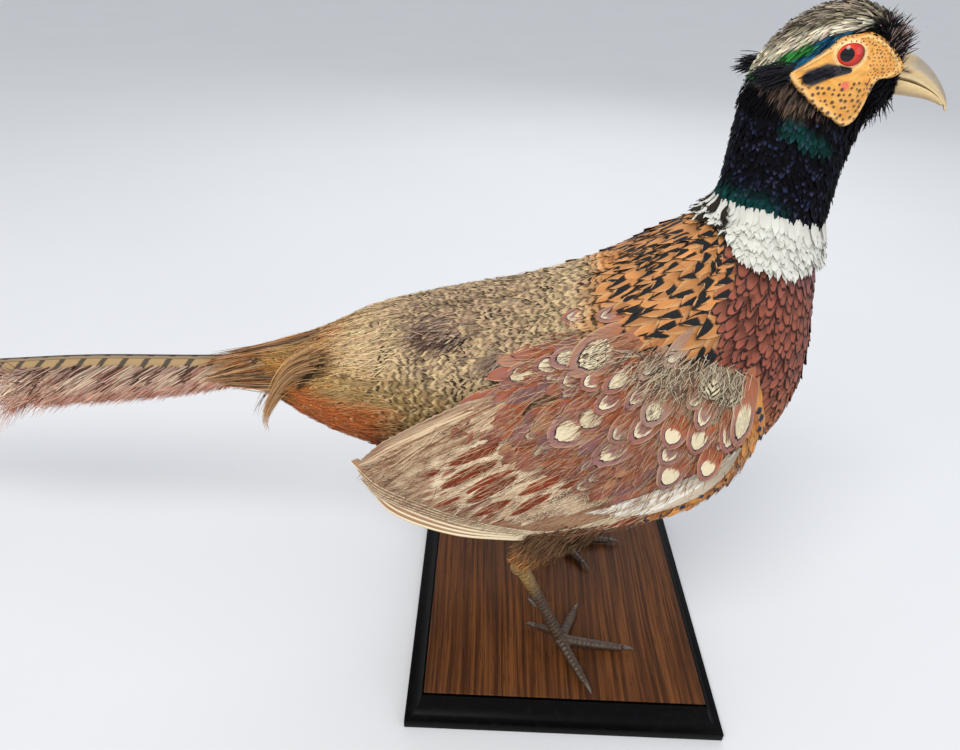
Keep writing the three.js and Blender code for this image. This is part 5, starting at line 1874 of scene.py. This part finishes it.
def bill():
    """Slate over the ridge, amber at the gape and pale at the cutting edges, with a nostril darkened as painted
    shade of its opening.
    """
    horn = rgb(212, 184, 132)

    def upper_tint(x, z, a, tall, slit):
        return layered(
            np.tile(horn, x.shape + (1,)),
            ((128, 120, 110), ease(tall, -0.1, 0.4) * ease(a, 0.18, 0.4) * 0.85 * ease(a, 1.0, 0.85)),
            ((196, 138, 74), np.exp(-((x - 118) / 4) ** 2 - ((z - 357) / 4) ** 2) * 0.8),
            ((238, 218, 172), ease(tall, -0.1, -0.5) * 0.6),
            ((92, 62, 38), ease(tall, -0.52, -0.6) * 0.8),
            # painted shade: the nostril's dent is darkened as if it were a deep opening
            ((46, 34, 28), np.clip(slit * 1.2, 0, 1)))

    def lower_tint(x, z, a, tall, slit):
        return blend(np.tile(horn, x.shape + (1,)), rgb(170, 140, 96), ease(tall, 0.0, -0.8) * 0.6)

    def upper_profile(turn):
        tall = np.cos(turn)
        wide = np.sign(np.sin(turn)) * np.abs(np.sin(turn)) ** 0.85
        tall = np.where(tall < -0.62, -0.62 - 0.16 * (1 - np.abs(wide) ** 3), tall)
        return tall, wide * np.where(np.cos(turn) < 0, 1.0, 0.8 + 0.2 * (1 - np.cos(turn)))

    def lower_profile(turn):
        tall = np.where(np.cos(turn) > 0.35, 0.35, np.cos(turn))
        return tall, np.sign(np.sin(turn)) * np.abs(np.sin(turn)) ** 0.9

    mandible("bill_upper_horn", [(110, 0, 361), (118, 0, 361), (126, 0, 359.6), (134, 0, 356), (141, 0, 351.3),
                                 (145.5, 0, 346.8), (147.3, 0, 343.2)],
             [6.9, 6.8, 6.2, 4.9, 3.4, 1.9, 0.4], [8.0, 7.4, 6.4, 4.9, 3.3, 1.7, 0.35],
             upper_profile, upper_tint, "bill_upper")
    mandible("bill_lower_horn", [(109, 0, 354.6), (117, 0, 354.4), (126, 0, 353.3), (135, 0, 351.0),
                                 (141.5, 0, 348.2), (145, 0, 345.9)],
             [5.6, 5.4, 4.9, 3.9, 2.5, 0.9], [7.4, 6.8, 5.8, 4.2, 2.6, 0.8],
             lower_profile, lower_tint, "bill_lower")


def tufts(tree):
    """Ear tufts, forehead tufts, the dark patch under the eye and the hairs of the throat."""
    coat = Coat("ear_tuft_plumage", HAIR_FINISH, "ear_plumage")
    t = np.linspace(0, 1, 9)[None, :, None]
    for side in SIDES.values():
        random = chance(800 + side)

        def spread(count, sizes):
            return bell(random, count, 1, 3) * sizes

        def grow(start, way, length, droop, width, shade, seed):
            """Strands from their starts, each its own length (count, 1, 1)."""
            path = start + way * length * t + droop
            free_strands(coat, path, width, shade, seed + side, random.random((len(start), 2)))

        count = 170
        start = np.array([68.0, -17.0 * side, 357.0]) + spread(count, (2.6, 0.5, 1.6))
        way = unit(np.array([-1, -0.1 * side, -0.1]) + spread(count, (0.1, 0.12, 0.14)))
        length = random.uniform(7, 13, (count, 1, 1))
        droop = np.array([0, -1.0 * side, -1.2]) * t ** 2 * random.uniform(0, 2, (count, 1, 1))
        grow(start, way, length, droop, 1.3, rgb(24, 24, 30), 810)

        spot = np.array([111.0, 371.0]) + bell(random, 420, 2) * (3.4, 4.2)
        depth = np.array([reach(tree, (x, -160, z), (0, 1, 0)) for x, z in spot])
        spot, depth = spot[depth < 162], depth[depth < 162]
        count = len(spot)
        start = np.stack([spot[:, 0], -side * (159.6 - depth), spot[:, 1]], -1)[:, None]
        ahead = ease(spot[:, 0], 104, 114)[:, None, None]
        way = np.array([-0.5, -0.1 * side, 0.5]) + ahead * np.array([1.1, 0, 0.3])
        way = unit(way + spread(count, 0.2))
        length = random.uniform(3.5, 7.5, (count, 1, 1)) * (0.6 + 0.4 * ahead)
        shade = picked(random.random((count, 1)), [0.88], (20, 18, 20), (160, 134, 126))
        grow(start, way, length, 0, 0.8, shade, 820)

        count = 160
        start = np.array([78.0, 0, 357.0]) + random.random((count, 1, 1)) * np.array([14.0, 0, 4.6])
        start = start + spread(count, (0.5, 0, 1.0))
        start[:, 0, 1] = [-side * (161.2 - reach(tree, (x, -160, z), (0, 1, 0))) for x, _, z in start[:, 0]]
        way = unit(np.array([-1, -0.32 * side, -0.35]) + spread(count, 0.12))
        grow(start, way, random.uniform(3, 5.5, (count, 1, 1)), 0, 1.0, rgb(34, 34, 44), 830)

        count = 240
        share = random.random((count, 1, 1))
        start = np.array([106.0, -9.0 * side, 346.0]) + share * np.array([10.0, 4.0 * side, 4.0])
        start = start + spread(count, (1.5, 1.5, 2.0))
        way = unit(np.array([0.1, -0.35 * side, -0.9]) + spread(count, 0.25))
        grow(start, way, random.uniform(4, 10, (count, 1, 1)), 0, 0.8, rgb(22, 21, 24), 840)
    coat.made("ear_tuft_right", "ear_tuft_left")


# ---- Legs ----

def leg_finish():
    paint = Finish("leg_scales", 0.45, 0.45)
    tint, _ = paint.attribute("Tint")
    scale = paint.cells(paint.place(), 420.0)
    grain = paint.noise(paint.place(), 700.0, 3.0)
    colour = paint.shade(tint, (scale * 0.9 + 0.55) * (grain * 0.6 + 0.7))
    return paint.done(colour, scale * -1.0 + grain * 0.4, 0.5, 0.0006)


def claw_finish():
    paint = Finish("claw_horn", 0.32, 0.5)
    grain = paint.noise(paint.place(), 500.0, 3.0)
    return paint.done(paint.mix(grain, rgb(40, 34, 30), rgb(96, 84, 72)), grain, 0.2)


def scuted(points, lines):
    """How far each point is raised by the scutes that cross the nearest toe or shank line."""
    best, along = np.full(len(points), 1e9), np.zeros(len(points))
    for start, end in lines:
        way = end - start
        t = np.clip((points - start) @ way / (way @ way), 0, 1)
        gap = np.linalg.norm(points - start - t[:, None] * way, axis=1)
        along = np.where(gap < best, t * np.linalg.norm(way), along)
        best = np.minimum(gap, best)
    ridge = np.abs(np.sin(along * math.pi / 3.0)) ** 0.6
    return 0.55 * (ridge - 0.6)


def leg(name):
    spec = LEGS[name]
    joint, ankle = np.array(spec["joint"], float), np.array(spec["ankle"], float)
    toes = []
    for bearing, length in spec["toes"].values():
        way = np.array([math.cos(math.radians(bearing)), math.sin(math.radians(bearing)), 0])
        toes.append((joint + (0, 0, -2), joint + way * length + (0, 0, -3)))
    for part, lines in (("tarsus", [(ankle, joint)]), ("foot", toes)):
        piece = rounded(merged_copy(f"{part}_{name}_scaled", [f"{part}_{name}"]), 0.0006, 3)
        points, normals = vertex_arrays(piece)
        place = to_bird(points)
        place_points(piece.data, points + normals * scuted(place, lines)[:, None] / 1000)
        brown = np.tile(rgb(60, 42, 26), (len(place), 1))
        colour_points(piece.data, "Tint", blend(brown, rgb(150, 116, 56), ease(place[:, 2], 40, 62) * 0.6))
        shade_smooth(piece.data)
        piece.data.update()
        piece.data.materials.append(LEG_FINISH)
        keep(piece, "leg_scales", f"{part}_{name}")
    for claw in ("claw_middle", "claw_outer", "claw_inner", "claw_hind", "spur"):
        piece = rounded(merged_copy(f"{claw}_{name}_horn", [f"{claw}_{name}"]), 0.0004, 2)
        shade_smooth(piece.data)
        piece.data.materials.append(CLAW_FINISH)
        keep(piece, "claw_horn" if claw != "spur" else "leg_scales", f"{claw}_{name}")


# ---- Assembly ----

TAIL_CURVE = spline(TAIL_RIDGE, 200)
FLANK_FINISH = flank_finish()
COVERT_FINISH, STREAKED_FINISH, PRIMARY_FINISH = covert_finish(), streaked_finish(), primary_finish()
SHAFT_FINISH = plain_plume_finish("pale_shafts", 0.4, 0.05, 0.15, 0.3)
HAIR_FINISH = hair_finish("loose_barbs")
FACE_FINISH, BILL_FINISH, LEG_FINISH, CLAW_FINISH = face_finish(), bill_finish(), leg_finish(), claw_finish()

camera()
studio()
board()
body_form = rounded(merged_copy("body_form", ["head", "neck", "trunk", "rump"]), 0.003, 8)
body_tree = tree_of(body_form)
body = body_sheet(body_tree)
wing_nodes = ["trunk", "rump", "wing_coverts_right", "secondaries_right", "primaries_right"]
wing_form = merged_copy("wing_form", wing_nodes)
wing_tree = tree_of(wing_form)
for form in (body_form, wing_form):
    bpy.data.objects.remove(form)
skin()
body_plumage(body)
for side in SIDES.values():
    if side > 0:
        wing = wing_sheet(wing_tree, side)
    else:
        wing = Sheet(wing.points * (1, -1, 1), np.array([0, 1.0, 0]))
    coverts(wing, side)
    front_edge(wing, side)
    flight_feathers(side)
    face(body_tree, side)
    eye(side)
rump_strands(body)
tail_root_strands(body)
tail()
thigh_plumage()
bill()
tufts(body_tree)
for name in SIDES:
    leg(name)
